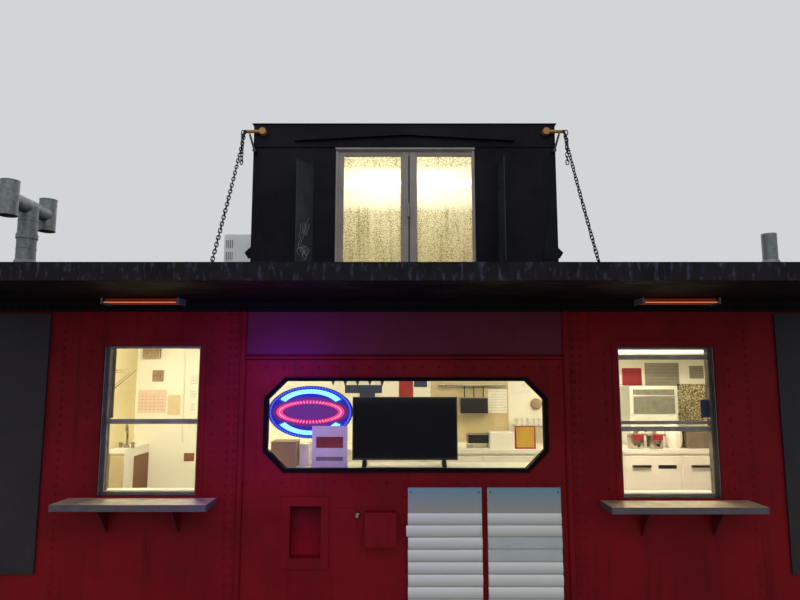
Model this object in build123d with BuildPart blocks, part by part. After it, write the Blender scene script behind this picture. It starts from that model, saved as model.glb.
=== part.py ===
from build123d import *

import os
from math import cos, radians, sin

# A riveted steel caboose with a centre cupola, used as a serving stand, in millimetres.
# X runs along the car, the serving side faces -Y, and Z = 0 is the lowest point of the wheel flanges.

# Running gear
TREAD_RADIUS = 419.0
FLANGE_RADIUS = 446.0
AXLE_Z = FLANGE_RADIUS
BACK_TO_BACK = 1353.0
TRUCK_X = 2950.0
WHEELBASE = 1676.0
JOURNAL_RADIUS = 60.0
FRAME_Y = (945.0, 1035.0)

# Heights of the body
DECK_TOP = 1147.0
DECK_THICK = 60.0
DECK_BOTTOM = DECK_TOP - DECK_THICK
SIDE_BOTTOM = 987.0
EAVE_Z = 3190.0
ROOF_CROWN = 3500.0
CUPOLA_EAVE = 4246.0
CUPOLA_CROWN = 4390.0

# Plan of the body
HALF_WIDTH = 1450.0
WALL = 80.0
INNER_Y = HALF_WIDTH - WALL
CABIN_X = 3950.0
ROOF_X = 4750.0
SILL_X = 4800.0
CUPOLA_X = 997.0
SEAM_X = 1022.0

os.makedirs("parts", exist_ok=True)


def slab(x, y, z, mode=Mode.ADD):
    """Adds a flat-faced block that spans the three (low, high) ranges."""
    with BuildSketch(Plane.XY.offset(z[0]), mode=Mode.PRIVATE) as plan:
        with Locations(((x[0] + x[1]) / 2, (y[0] + y[1]) / 2)):
            Rectangle(x[1] - x[0], y[1] - y[0])
    extrude(plan.sketch, amount=z[1] - z[0], mode=mode)


def rod(start, end, radius, mode=Mode.ADD):
    """Adds a round bar from start to end."""
    run = Vector(*end) - Vector(*start)
    with BuildSketch(Plane(origin=start, z_dir=run), mode=Mode.PRIVATE) as section:
        Circle(radius)
    extrude(section.sketch, amount=run.length, mode=mode)


def prism(plane, points, amount, mode=Mode.ADD):
    """Adds the prism of a closed outline drawn on a plane."""
    with BuildSketch(plane, mode=Mode.PRIVATE) as outline:
        with BuildLine():
            Polyline(*points, close=True)
        make_face()
    extrude(outline.sketch, amount=amount, mode=mode)


def pipe(points, bend, radius):
    """Adds a round pipe along straight runs joined by bends of one radius."""
    with BuildLine(mode=Mode.PRIVATE) as route:
        FilletPolyline(*points, radius=bend)
    for run in route.line.edges():
        with BuildSketch(Plane(origin=run @ 0, z_dir=run % 0), mode=Mode.PRIVATE) as section:
            Circle(radius)
        if run.geom_type == GeomType.LINE:
            extrude(section.sketch, amount=run.length)
        else:
            sweep(section.sketch, path=run)


def octagon(width, height, cut):
    """Draws a rectangle with cut corners about the current location."""
    x, z = width / 2, height / 2
    corners = [(-x, -z + cut), (-x + cut, -z), (x - cut, -z), (x, -z + cut)]
    Polygon(*corners, *[(-a, -b) for a, b in corners], align=None)


def finish(part, name):
    """Labels a finished piece and writes it as one STEP file."""
    part.label = name
    export_step(part, f"parts/{name}.step")


def side_plane(side, y):
    """Gives the upright plane at distance y from the middle, on the serving (-1) or the far (1) side."""
    return Plane(origin=(0, side * y, 0), x_dir=(1, 0, 0), z_dir=(0, side, 0))


# Underframe: centre sill, side sills, body bolsters, cross-bearers and end sills, riveted into one.
SILL_BOTTOM = 757.0
SILL_HALF = 175.0
SILL_FLANGE = 90.0
SIDE_SILL_Y = (1290.0, INNER_Y)
PLATE_THICK = 18.0
BOLSTER_WIDTH = 260.0
BEARER_WIDTH = 24.0
# Half-width where a cross member is deepest, where its slope ends, and where it meets the side sill
MEMBER_Y = (400.0, 1270.0, 1352.0)
CROSSBEARERS = (-1450.0, -725.0, 0.0, 725.0, 1450.0)
CENTRE_PLATE_R = 170.0
CENTRE_PLATE_BOTTOM = 691.0
SIDE_BEARING_Y = 635.0
SIDE_BEARING = (200.0, 90.0)
SIDE_BEARING_BOTTOM = 718.0
SIDE_BEARING_TALL = 150.0
COUPLER_Z = 903.0
END_SILL = (100.0, 1400.0, 887.0)
STRIKER = (25.0, 210.0, 800.0, 1060.0)
SHANK_POCKET = (110.0, 95.0)
PLATFORM_RIB = (970.0, 990.0, 90.0)
# (length, width, thickness) of the pad under the side sill at each body bolster
JACKING_PAD = (200.0, 70.0, 20.0)

with BuildPart() as underframe:
    web, foot = SILL_BOTTOM + PLATE_THICK, SILL_HALF + SILL_FLANGE
    inside, under = SILL_HALF - PLATE_THICK, DECK_BOTTOM - PLATE_THICK
    half_sill = [(SILL_HALF, DECK_BOTTOM), (SILL_HALF, web), (foot, web), (foot, SILL_BOTTOM),
                 (inside, SILL_BOTTOM), (inside, under)]
    prism(Plane.YZ.offset(-SILL_X + END_SILL[0]), [(-y, z) for y, z in half_sill] + half_sill[::-1],
          2 * (SILL_X - END_SILL[0]))
    for side in (-1, 1):
        width = sorted(side * y for y in SIDE_SILL_Y)
        slab((-CABIN_X, CABIN_X), width, (DECK_BOTTOM - PLATE_THICK, DECK_BOTTOM))
        slab((-CABIN_X, CABIN_X), width, (SIDE_BOTTOM, SIDE_BOTTOM + PLATE_THICK))
        width = sorted((side * (SIDE_SILL_Y[1] - PLATE_THICK), side * SIDE_SILL_Y[1]))
        slab((-CABIN_X, CABIN_X), width, (SIDE_BOTTOM, DECK_BOTTOM))
        member = [
            (side * SILL_HALF, DECK_BOTTOM), (side * SILL_HALF, SILL_BOTTOM),
            (side * MEMBER_Y[0], SILL_BOTTOM), (side * MEMBER_Y[1], SIDE_BOTTOM),
            (side * MEMBER_Y[2], SIDE_BOTTOM), (side * MEMBER_Y[2], DECK_BOTTOM),
        ]
        for x in CROSSBEARERS:
            prism(Plane.YZ.offset(x - BEARER_WIDTH / 2), member, BEARER_WIDTH)
        for x in (-TRUCK_X, TRUCK_X):
            prism(Plane.YZ.offset(x - BOLSTER_WIDTH / 2), member, BOLSTER_WIDTH)
    for end in (-1, 1):
        for side in (-1, 1):
            with BuildSketch(Plane.XY.offset(SIDE_BOTTOM - JACKING_PAD[2])):
                with Locations((end * TRUCK_X, side * sum(SIDE_SILL_Y) / 2)):
                    Rectangle(*JACKING_PAD[:2])
            extrude(amount=JACKING_PAD[2])
            with BuildSketch(Plane.XY.offset(SIDE_BEARING_BOTTOM)):
                with Locations((end * TRUCK_X, side * SIDE_BEARING_Y)):
                    Rectangle(*SIDE_BEARING)
            extrude(amount=SIDE_BEARING_TALL)
            width = sorted((side * PLATFORM_RIB[0], side * PLATFORM_RIB[1]))
            length = sorted((end * CABIN_X, end * (SILL_X - END_SILL[0])))
            slab(length, width, (DECK_BOTTOM - PLATFORM_RIB[2], DECK_BOTTOM))
        with BuildSketch(Plane.XY.offset(CENTRE_PLATE_BOTTOM)):
            with Locations((end * TRUCK_X, 0)):
                Circle(CENTRE_PLATE_R)
        extrude(amount=web - CENTRE_PLATE_BOTTOM)
        # The end sill has an opening for the coupler shank, with the striker plate around it.
        length = sorted((end * (SILL_X - END_SILL[0]), end * SILL_X))
        slab(length, (-END_SILL[1], END_SILL[1]), (END_SILL[2], DECK_BOTTOM))
        length = sorted((end * SILL_X, end * (SILL_X + STRIKER[0])))
        slab(length, (-STRIKER[1], STRIKER[1]), STRIKER[2:])
        length = sorted((end * (SILL_X - END_SILL[0] - 10), end * (SILL_X + STRIKER[0] + 5)))
        slab(length, (-SHANK_POCKET[0], SHANK_POCKET[0]), (SILL_BOTTOM - 10, COUPLER_Z + SHANK_POCKET[1]),
             mode=Mode.SUBTRACT)
finish(underframe.part, "underframe")

# Floor deck, with a notch over each of the four flights of steps.
STEP_X = (4180.0, 4700.0)
STEP_INNER_Y = 1010.0

with BuildPart() as floor_deck:
    with BuildSketch(Plane.XY.offset(DECK_BOTTOM)):
        Rectangle(2 * SILL_X, 2 * HALF_WIDTH)
        with Locations((0, HALF_WIDTH - WALL / 2), (0, -HALF_WIDTH + WALL / 2)):
            Rectangle(2 * CABIN_X, WALL, mode=Mode.SUBTRACT)
        notch_y = (STEP_INNER_Y + HALF_WIDTH) / 2
        for end in (-1, 1):
            with Locations(*[(end * sum(STEP_X) / 2, side * notch_y) for side in (-1, 1)]):
                Rectangle(STEP_X[1] - STEP_X[0], HALF_WIDTH - STEP_INNER_Y, mode=Mode.SUBTRACT)
    extrude(amount=DECK_THICK)
finish(floor_deck.part, "floor_deck")

# Side walls: each panel has its own openings, a heavier sill edge and a splice along its rivet lines.
SERVING_SIZE_X = 612.0
# (centre x, sill z, head z) of the two serving windows
SERVING_WINDOWS = ((-1599.0, 1850.0, 2776.0), (1656.0, 1836.0, 2768.0))
REAR_WINDOW = (605.0, 760.0)
REAR_WINDOW_Z = 2300.0
REAR_SPAN = (REAR_WINDOW_Z - REAR_WINDOW[1] / 2, REAR_WINDOW_Z + REAR_WINDOW[1] / 2)
REAR_WINDOW_X = (-1930.0, 1930.0)
PICTURE_SIZE = (1744.0, 549.0)
PICTURE_CUT = 118.0
PICTURE_CENTRE = (8.0, 2283.0)
SILL_BAND_TOP = 1090.0
BAND_PROUD = 8.0


def wall_panel(side, x0, x1, windows):
    """Makes one side-wall panel; windows are (centre x, low z, high z, width)."""
    with BuildPart() as panel:
        with BuildSketch(side_plane(side, HALF_WIDTH)):
            with Locations(((x0 + x1) / 2, side_z((SIDE_BOTTOM + EAVE_Z) / 2, side))):
                Rectangle(x1 - x0, EAVE_Z - SIDE_BOTTOM)
            for centre, low, high, width in windows:
                with Locations((centre, side_z((low + high) / 2, side))):
                    Rectangle(width, high - low, mode=Mode.SUBTRACT)
        extrude(amount=-WALL)
        y = sorted((side * HALF_WIDTH, side * (HALF_WIDTH + BAND_PROUD)))
        slab((x0, x1), y, (SIDE_BOTTOM, SILL_BAND_TOP))
    return panel


def side_z(z, side):
    """Gives the sketch height on a side plane, whose y axis points down on the far side."""
    return z if side < 0 else -z


# (name, side, low x, high x, windows)
PANELS = (
    ("front_left", -1, -CABIN_X, -SEAM_X, ((*SERVING_WINDOWS[0], SERVING_SIZE_X),)),
    ("front_right", -1, SEAM_X, CABIN_X, ((*SERVING_WINDOWS[1], SERVING_SIZE_X),)),
    ("rear_left", 1, -CABIN_X, -SEAM_X, ((REAR_WINDOW_X[0], *REAR_SPAN, REAR_WINDOW[0]),)),
    ("rear_centre", 1, -SEAM_X, SEAM_X, ()),
    ("rear_right", 1, SEAM_X, CABIN_X, ((REAR_WINDOW_X[1], *REAR_SPAN, REAR_WINDOW[0]),)),
)
for name, side, x0, x1, windows in PANELS:
    finish(wall_panel(side, x0, x1, windows).part, name)

# The centre panel carries the picture window, the mouldings, the recessed box and its small plates.
RECESS_X, RECESS_Z, RECESS_DEEP = (-705.0, -514.0), (1483.0, 1790.0), 55.0
# (low x, high x, low z, high z, proud) of the plates riveted to the centre panel
CENTRE_PLATES = (
    (-764.0, -466.0, 1418.0, 1846.0, 8.0),
    (-417.0, -299.0, 1644.0, 1778.0, 6.0),
)
# (low x, high x, low z, high z, reach at the top, reach at the bottom) of the small hooded box
HOODED_BOX = (-241.0, -51.0, 1563.0, 1760.0, 50.0, 68.0)
MOULDING_Z, MOULDING_R, MOULDING_X = 2701.0, 17.0, 1000.0
BAND_STEP = 60.0

with BuildPart() as front_centre:
    with BuildSketch(side_plane(-1, HALF_WIDTH)):
        with Locations((0, (SIDE_BOTTOM + EAVE_Z) / 2)):
            Rectangle(2 * SEAM_X, EAVE_Z - SIDE_BOTTOM)
    extrude(amount=-WALL)
    slab((-SEAM_X, SEAM_X), (-HALF_WIDTH - BAND_PROUD, -HALF_WIDTH), (SIDE_BOTTOM, SILL_BAND_TOP - BAND_STEP))
    for x0, x1, z0, z1, proud in CENTRE_PLATES:
        slab((x0, x1), (-HALF_WIDTH - proud, -HALF_WIDTH), (z0, z1))
    x0, x1, z0, z1, top, bottom = HOODED_BOX
    prism(Plane.YZ.offset(x0), [(-HALF_WIDTH, z0), (-HALF_WIDTH - bottom, z0), (-HALF_WIDTH - top, z1),
                                (-HALF_WIDTH, z1)], x1 - x0)
    with BuildSketch(Plane.YZ.offset(-MOULDING_X)):
        with Locations((-HALF_WIDTH, MOULDING_Z)):
            Circle(MOULDING_R)
            Rectangle(2 * MOULDING_R, 2 * MOULDING_R, align=(Align.MIN, Align.CENTER), mode=Mode.SUBTRACT)
    extrude(amount=2 * MOULDING_X)
    slab(RECESS_X, (-HALF_WIDTH - 10, -HALF_WIDTH + RECESS_DEEP), RECESS_Z, mode=Mode.SUBTRACT)
    with BuildSketch(Plane(origin=(PICTURE_CENTRE[0], -HALF_WIDTH - 1, PICTURE_CENTRE[1]),
                           x_dir=(1, 0, 0), z_dir=(0, -1, 0))):
        octagon(*PICTURE_SIZE, PICTURE_CUT)
    extrude(amount=-WALL - 2, mode=Mode.SUBTRACT)
finish(front_centre.part, "front_centre")

# Half-round strips that cover the seams between the centre panel and its neighbours.
STRIP_R = 21.5

with BuildPart() as seam_strips:
    for side in (-1, 1):
        with BuildSketch(Plane.XY.offset(SILL_BAND_TOP)):
            for x in (-SEAM_X, SEAM_X):
                with Locations((x, side * HALF_WIDTH)):
                    Circle(STRIP_R)
            with Locations((0, side * (HALF_WIDTH - 50))):
                Rectangle(3 * SEAM_X, 100, mode=Mode.SUBTRACT)
        extrude(amount=EAVE_Z - SILL_BAND_TOP - 180)
finish(seam_strips.part, "seam_strips")

# End walls with a middle doorway and one window beside it.
DOOR_HALF = 380.0
DOOR_HEAD = 3062.0
END_WINDOW = (820.0, 2300.0, 420.0, 620.0)
CEILING_CROWN = ROOF_CROWN - WALL


def roof_arc(half, low, crown):
    """Draws the arc of a roof across the car."""
    ThreePointArc((-half, low), (0, crown), (half, low))


for name, end in (("end_wall_left", -1), ("end_wall_right", 1)):
    with BuildPart() as end_wall:
        with BuildSketch(Plane.YZ.offset(end * (CABIN_X - WALL / 2))):
            with BuildLine():
                roof_arc(INNER_Y, EAVE_Z, CEILING_CROWN - 0.5)
                Polyline((INNER_Y, EAVE_Z), (INNER_Y, DECK_TOP), (-INNER_Y, DECK_TOP), (-INNER_Y, EAVE_Z))
            make_face()
            with Locations((0, (DECK_TOP + DOOR_HEAD) / 2)):
                Rectangle(2 * DOOR_HALF, DOOR_HEAD - DECK_TOP, mode=Mode.SUBTRACT)
            with Locations(*[(side * END_WINDOW[0], END_WINDOW[1]) for side in (-1, 1)]):
                Rectangle(END_WINDOW[2], END_WINDOW[3], mode=Mode.SUBTRACT)
        extrude(amount=WALL / 2, both=True)
    finish(end_wall.part, name)

# End doors: a framed leaf with a window, a kick panel and a knob on the outer face.
LEAF_GAP = 5.0
EDGE_GAP = 8.0
LEAF_THICK = 40.0
LEAF_LOW = DECK_TOP + 8
LEAF_HIGH = DOOR_HEAD - LEAF_GAP
LEAF_INSET = 8.0
LEAF_WINDOW = (0.0, 2560.0, 420.0, 620.0)
# (half width, low z, high z, depth) of the kick panel
KICK_PANEL = (260.0, 1300.0, 2120.0, 9.0)
# (y, z, stem radius, stem reach, grip radius, grip start, grip reach) of the knob
KNOB = (310.0, 2030.0, 11.0, 45.0, 27.0, 35.0, 62.0)
HINGE_Y = -DOOR_HALF
HINGE_Z = (1400.0, 2100.0, 2800.0)
HINGE_HALF, HINGE_R, HINGE_FLAP = 60.0, 7.0, 70.0
PANE_THICK = 6.0

for name, end in (("end_door_left", -1), ("end_door_right", 1)):
    face = end * (CABIN_X - WALL)
    with BuildPart() as leaf:
        with BuildSketch(Plane.YZ.offset(face)):
            with Locations((0, (LEAF_LOW + LEAF_HIGH) / 2)):
                Rectangle(2 * (DOOR_HALF - EDGE_GAP), LEAF_HIGH - LEAF_LOW)
            with Locations(LEAF_WINDOW[:2]):
                Rectangle(*LEAF_WINDOW[2:], mode=Mode.SUBTRACT)
        extrude(amount=end * LEAF_THICK)
        length = sorted((face + end * LEAF_THICK, face + end * (LEAF_THICK - KICK_PANEL[3])))
        slab(length, (-KICK_PANEL[0], KICK_PANEL[0]), KICK_PANEL[1:3], mode=Mode.SUBTRACT)
        y, z, stem, stem_reach, grip, grip_start, grip_reach = KNOB
        outer = face + end * LEAF_THICK
        rod((outer - end * LEAF_THICK / 2, y, z), (outer + end * stem_reach, y, z), stem)
        rod((outer + end * grip_start, y, z), (outer + end * grip_reach, y, z), grip)
        for z in HINGE_Z:
            pin = face - end * LEAF_INSET
            rod((pin, HINGE_Y, z - HINGE_HALF), (pin, HINGE_Y, z + HINGE_HALF), HINGE_R)
            length = sorted((pin - end * 5, face))
            slab(length, (HINGE_Y + 2, HINGE_Y + HINGE_FLAP), (z - HINGE_HALF + 10, z + HINGE_HALF - 10))
    finish(leaf.part, name)
    with BuildPart() as pane:
        middle = face + end * LEAF_THICK / 2
        with BuildSketch(Plane.YZ.offset(middle)):
            with Locations(LEAF_WINDOW[:2]):
                Rectangle(*LEAF_WINDOW[2:])
        extrude(amount=PANE_THICK / 2, both=True)
    finish(pane.part, name.replace("end_door", "door_pane"))

# Arched roofs, resting on the side walls and reaching over the platforms.
ROOF_HALF = 1490.0

for name, x0, x1 in (("roof_left", -ROOF_X, -CUPOLA_X), ("roof_right", CUPOLA_X, ROOF_X)):
    with BuildPart() as roof:
        with BuildSketch(Plane.YZ.offset(x0)):
            with BuildLine():
                roof_arc(ROOF_HALF, EAVE_Z, ROOF_CROWN)
                Line((ROOF_HALF, EAVE_Z), (INNER_Y, EAVE_Z))
                roof_arc(INNER_Y, EAVE_Z, CEILING_CROWN)
                Line((-INNER_Y, EAVE_Z), (-ROOF_HALF, EAVE_Z))
            make_face()
        extrude(amount=x1 - x0)
    finish(roof.part, name)

# Cupola: two sides, two ends and an arched roof.
CASEMENT = (5.0, 3650.0, 910.0, 842.0)
GUTTER_Z, GUTTER_RISE, GUTTER_HALF = 4133.0, 40.0, 724.0
END_LIGHT = (640.0, 3850.0, 520.0, 420.0)

for name, side in (("cupola_front", -1), ("cupola_rear", 1)):
    with BuildPart() as cupola_side:
        with BuildSketch(side_plane(side, HALF_WIDTH)):
            with Locations((0, side_z((EAVE_Z + CUPOLA_EAVE) / 2, side))):
                Rectangle(2 * CUPOLA_X, CUPOLA_EAVE - EAVE_Z)
            with Locations((CASEMENT[0], side_z(CASEMENT[1], side))):
                Rectangle(CASEMENT[2], CASEMENT[3], mode=Mode.SUBTRACT)
        extrude(amount=-WALL)
        # Shallow peaked rain gutter over the window
        peak = [(-GUTTER_HALF, GUTTER_Z), (0, GUTTER_Z + GUTTER_RISE), (GUTTER_HALF, GUTTER_Z),
                (GUTTER_HALF, GUTTER_Z - 9), (0, GUTTER_Z + GUTTER_RISE - 9), (-GUTTER_HALF, GUTTER_Z - 9)]
        prism(side_plane(side, HALF_WIDTH), [(x, side_z(z, side)) for x, z in peak], 22)
    finish(cupola_side.part, name)

# The cupola ends carry two lights each and a sloped flashing where they meet the roof.
FLASHING = ((0.0, 3666.0), (175.0, 3485.0), (150.0, 3445.0), (0.0, 3445.0))

with BuildPart() as cupola_ends:
    for end in (-1, 1):
        with BuildSketch(Plane.YZ.offset(end * (CUPOLA_X - WALL / 2))):
            with BuildLine():
                roof_arc(INNER_Y, CUPOLA_EAVE, CUPOLA_CROWN - 70.5)
                Polyline((INNER_Y, CUPOLA_EAVE), (INNER_Y, EAVE_Z),
                         (-INNER_Y, EAVE_Z), (-INNER_Y, CUPOLA_EAVE))
            make_face()
            with Locations(*[(side * END_LIGHT[0], END_LIGHT[1]) for side in (-1, 1)]):
                Rectangle(*END_LIGHT[2:], mode=Mode.SUBTRACT)
        extrude(amount=WALL / 2, both=True)
        for side in (-1, 1):
            prism(Plane(origin=(end * CUPOLA_X, side * 900 + 11, 0), x_dir=(1, 0, 0), z_dir=(0, -1, 0)),
                  [(end * x, z) for x, z in FLASHING], 22)
finish(cupola_ends.part, "cupola_ends")

with BuildPart() as cupola_roof:
    with BuildSketch(Plane.YZ.offset(-CUPOLA_X - 12)):
        with BuildLine():
            roof_arc(HALF_WIDTH + 12, CUPOLA_EAVE, CUPOLA_CROWN)
            Line((HALF_WIDTH + 12, CUPOLA_EAVE), (INNER_Y, CUPOLA_EAVE))
            roof_arc(INNER_Y, CUPOLA_EAVE, CUPOLA_CROWN - 70)
            Line((-INNER_Y, CUPOLA_EAVE), (-HALF_WIDTH - 12, CUPOLA_EAVE))
        make_face()
    extrude(amount=2 * CUPOLA_X + 24)
finish(cupola_roof.part, "cupola_roof")

# Window frames: each is a ring in its opening with rails or mullions.
FRAME_DEEP = 50.0
SASH_SET = 8.0


def window_frame(side, outer, centre, low, high, width, rim, bars):
    """Adds a framed window, face at outer; bars are (low x, high x, low z, high z) from its centre."""
    with BuildSketch(side_plane(side, outer), mode=Mode.PRIVATE) as ring:
        with Locations((centre, side_z((low + high) / 2, side))):
            Rectangle(width, high - low)
            Rectangle(width - 2 * rim, high - low - 2 * rim, mode=Mode.SUBTRACT)
    extrude(ring.sketch, amount=-FRAME_DEEP)
    for x0, x1, z0, z1 in bars:
        y = sorted((side * (outer - SASH_SET), side * (outer - FRAME_DEEP + SASH_SET)))
        slab((centre + x0, centre + x1), y, (z0, z1))


SERVING_RIM = 15.0
# The serving frames sit back in the wall, so a reveal of the wall shows round them.
SERVING_FACE = HALF_WIDTH - 56.0
# Rails of the double-hung sashes: (low z, high z). The right lower sash stands raised.
SERVING_RAILS = (
    ((2282.0, 2312.0),),
    ((2236.0, 2264.0), (2279.0, 2300.0), (2689.0, 2719.0)),
)
with BuildPart() as serving_frames:
    for (centre, low, high), rails in zip(SERVING_WINDOWS, SERVING_RAILS):
        half = SERVING_SIZE_X / 2 - SERVING_RIM + 1
        window_frame(-1, SERVING_FACE, centre, low, high, SERVING_SIZE_X, SERVING_RIM,
                     [(-half, half, a, b) for a, b in rails])
finish(serving_frames.part, "serving_frames")

FRAME_FACE = HALF_WIDTH + 10.0
REAR_RIM = 30.0
REAR_RAIL = 18.0
END_RIM = 28.0
with BuildPart() as side_window_frames:
    for centre in REAR_WINDOW_X:
        half = REAR_WINDOW[0] / 2 - REAR_RIM + 1
        window_frame(1, FRAME_FACE, centre, *REAR_SPAN, REAR_WINDOW[0], REAR_RIM,
                     [(-half, half, REAR_WINDOW_Z - REAR_RAIL, REAR_WINDOW_Z + REAR_RAIL)])
    for end in (-1, 1):
        with BuildSketch(Plane.YZ.offset(end * (CABIN_X - WALL / 2))):
            for side in (-1, 1):
                with Locations((side * END_WINDOW[0], END_WINDOW[1])):
                    Rectangle(END_WINDOW[2], END_WINDOW[3])
                    Rectangle(END_WINDOW[2] - 2 * END_RIM, END_WINDOW[3] - 2 * END_RIM, mode=Mode.SUBTRACT)
        extrude(amount=END_RIM, both=True)
finish(side_window_frames.part, "side_window_frames")

# The cupola's casement has a wide left stile, two meeting stiles and a narrow right stile.
CASEMENT_LOW = CASEMENT[1] - CASEMENT[3] / 2
CASEMENT_HIGH = CASEMENT[1] + CASEMENT[3] / 2
CASEMENT_RIM = 17.0
CASEMENT_RAIL = 46.0
# (low x, high x) of the left stile and of the two meeting stiles, and of the two panes between
STILES = ((-438.0, -404.0), (-27.0, 22.0), (28.0, 76.0))
CASEMENT_PANES = ((-404.0, -27.0), (76.0, 438.0))
with BuildPart() as cupola_frames:
    for side in (-1, 1):
        rails = [(-438.0, 438.0, CASEMENT_LOW + CASEMENT_RIM - 1, CASEMENT_LOW + CASEMENT_RAIL),
                 (-438.0, 438.0, CASEMENT_HIGH - CASEMENT_RAIL, CASEMENT_HIGH - CASEMENT_RIM + 1)]
        stiles = [(x0, x1, CASEMENT_LOW + CASEMENT_RIM, CASEMENT_HIGH - CASEMENT_RIM) for x0, x1 in STILES]
        window_frame(side, FRAME_FACE, CASEMENT[0], CASEMENT_LOW, CASEMENT_HIGH, CASEMENT[2], CASEMENT_RIM,
                     rails + stiles)
    for end in (-1, 1):
        with BuildSketch(Plane.YZ.offset(end * (CUPOLA_X - WALL / 2))):
            for side in (-1, 1):
                with Locations((side * END_LIGHT[0], END_LIGHT[1])):
                    Rectangle(END_LIGHT[2], END_LIGHT[3])
                    Rectangle(END_LIGHT[2] - 2 * END_RIM, END_LIGHT[3] - 2 * END_RIM, mode=Mode.SUBTRACT)
        extrude(amount=END_RIM, both=True)
finish(cupola_frames.part, "cupola_frames")

# Picture window: a rubber gasket with a lip on the panel, and its pane.
GASKET_LIP = 18.0
with BuildPart() as picture_gasket:
    at_x, at_z = PICTURE_CENTRE
    with BuildSketch(Plane(origin=(at_x, -HALF_WIDTH, at_z), x_dir=(1, 0, 0), z_dir=(0, -1, 0))):
        octagon(PICTURE_SIZE[0] + 2 * GASKET_LIP, PICTURE_SIZE[1] + 2 * GASKET_LIP, PICTURE_CUT + 10)
    extrude(amount=12)
    with BuildSketch(Plane(origin=(at_x, -HALF_WIDTH, at_z), x_dir=(1, 0, 0), z_dir=(0, -1, 0))):
        octagon(*PICTURE_SIZE, PICTURE_CUT)
    extrude(amount=-40)
    with BuildSketch(Plane(origin=(at_x, -HALF_WIDTH - 20, at_z), x_dir=(1, 0, 0), z_dir=(0, -1, 0))):
        octagon(PICTURE_SIZE[0] - 12, PICTURE_SIZE[1] - 12, PICTURE_CUT - 3)
    extrude(amount=-80, mode=Mode.SUBTRACT)
finish(picture_gasket.part, "picture_gasket")

# Panes, each filling its frame: cabin and end windows, the picture window, and the cupola.
SERVING_PANE_Y = (SERVING_FACE - 28.0, SERVING_FACE - 22.0)
SIDE_PANE_Y = (HALF_WIDTH - 18.0, HALF_WIDTH - 12.0)
# (centre x, low z, high z) of the serving panes between frame and rails
SERVING_PANES = (
    (SERVING_WINDOWS[0][0], SERVING_WINDOWS[0][1] + SERVING_RIM, SERVING_RAILS[0][0][0]),
    (SERVING_WINDOWS[0][0], SERVING_RAILS[0][0][1], SERVING_WINDOWS[0][2] - SERVING_RIM),
    (SERVING_WINDOWS[1][0], SERVING_RAILS[1][1][1], SERVING_RAILS[1][2][0]),
)
with BuildPart() as cabin_glass:
    with BuildSketch(Plane(origin=(at_x, -SIDE_PANE_Y[1], at_z), x_dir=(1, 0, 0), z_dir=(0, -1, 0))):
        octagon(PICTURE_SIZE[0] - 12, PICTURE_SIZE[1] - 12, PICTURE_CUT - 3)
    extrude(amount=-PANE_THICK)
    half = SERVING_SIZE_X / 2 - SERVING_RIM
    for centre, low, high in SERVING_PANES:
        slab((centre - half, centre + half), sorted(-y for y in SERVING_PANE_Y), (low, high))
    half = REAR_WINDOW[0] / 2 - REAR_RIM
    for centre in REAR_WINDOW_X:
        for low, high in ((REAR_SPAN[0] + REAR_RIM, REAR_WINDOW_Z - REAR_RAIL),
                          (REAR_WINDOW_Z + REAR_RAIL, REAR_SPAN[1] - REAR_RIM)):
            slab((centre - half, centre + half), SIDE_PANE_Y, (low, high))
    for end in (-1, 1):
        with BuildSketch(Plane.YZ.offset(end * (CABIN_X - WALL / 2))):
            with Locations(*[(side * END_WINDOW[0], END_WINDOW[1]) for side in (-1, 1)]):
                Rectangle(END_WINDOW[2] - 2 * END_RIM, END_WINDOW[3] - 2 * END_RIM)
        extrude(amount=PANE_THICK / 2, both=True)
finish(cabin_glass.part, "cabin_glass")

with BuildPart() as cupola_glass:
    for side in (-1, 1):
        for x0, x1 in CASEMENT_PANES:
            slab((CASEMENT[0] + x0, CASEMENT[0] + x1), sorted(side * y for y in SIDE_PANE_Y),
                 (CASEMENT_LOW + CASEMENT_RAIL, CASEMENT_HIGH - CASEMENT_RAIL))
    for end in (-1, 1):
        with BuildSketch(Plane.YZ.offset(end * (CUPOLA_X - WALL / 2))):
            with Locations(*[(side * END_LIGHT[0], END_LIGHT[1]) for side in (-1, 1)]):
                Rectangle(END_LIGHT[2] - 2 * END_RIM, END_LIGHT[3] - 2 * END_RIM)
        extrude(amount=PANE_THICK / 2, both=True)
finish(cupola_glass.part, "cupola_glass")

# Wind deflector vanes beside the cupola windows: (root x, tip x, tip reach, top z).
VANES = ((-603.0, -690.0, 118.0, 3962.0), (611.0, 630.0, 140.0, 3970.0))
VANE_THICK = 6.0
VANE_LOW = 3300.0

with BuildPart() as wind_vanes:
    for side in (-1, 1):
        for root, tip, reach, top in VANES:
            with BuildSketch(Plane.XY.offset(VANE_LOW)):
                with BuildLine():
                    a, b = (root, side * HALF_WIDTH), (tip, side * (HALF_WIDTH + reach))
                    Polyline(a, (root + VANE_THICK, a[1]), (tip + VANE_THICK, b[1]), b, close=True)
                make_face()
            extrude(amount=top - VANE_LOW)
finish(wind_vanes.part, "wind_vanes")

# Awning: a thin sheet that falls a little towards its fascia, on a ledger angle at the wall.
AWNING_X = 2950.0
AWNING_REACH = 1130.0
AWNING_WALL_Z = 3060.0
AWNING_FRONT_Z = 3019.0
FASCIA_TOP = 3106.0
SHEET = 42.0

with BuildPart() as awning:
    front = -HALF_WIDTH - AWNING_REACH
    prism(
        Plane.YZ.offset(-AWNING_X),
        [
            (-HALF_WIDTH, AWNING_WALL_Z), (front + 40, AWNING_FRONT_Z + 4), (front + 40, AWNING_FRONT_Z),
            (front, AWNING_FRONT_Z), (front, FASCIA_TOP), (front + 40, FASCIA_TOP),
            (-HALF_WIDTH, AWNING_WALL_Z + SHEET + 58),
        ],
        2 * AWNING_X,
    )
finish(awning.part, "awning")

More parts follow.
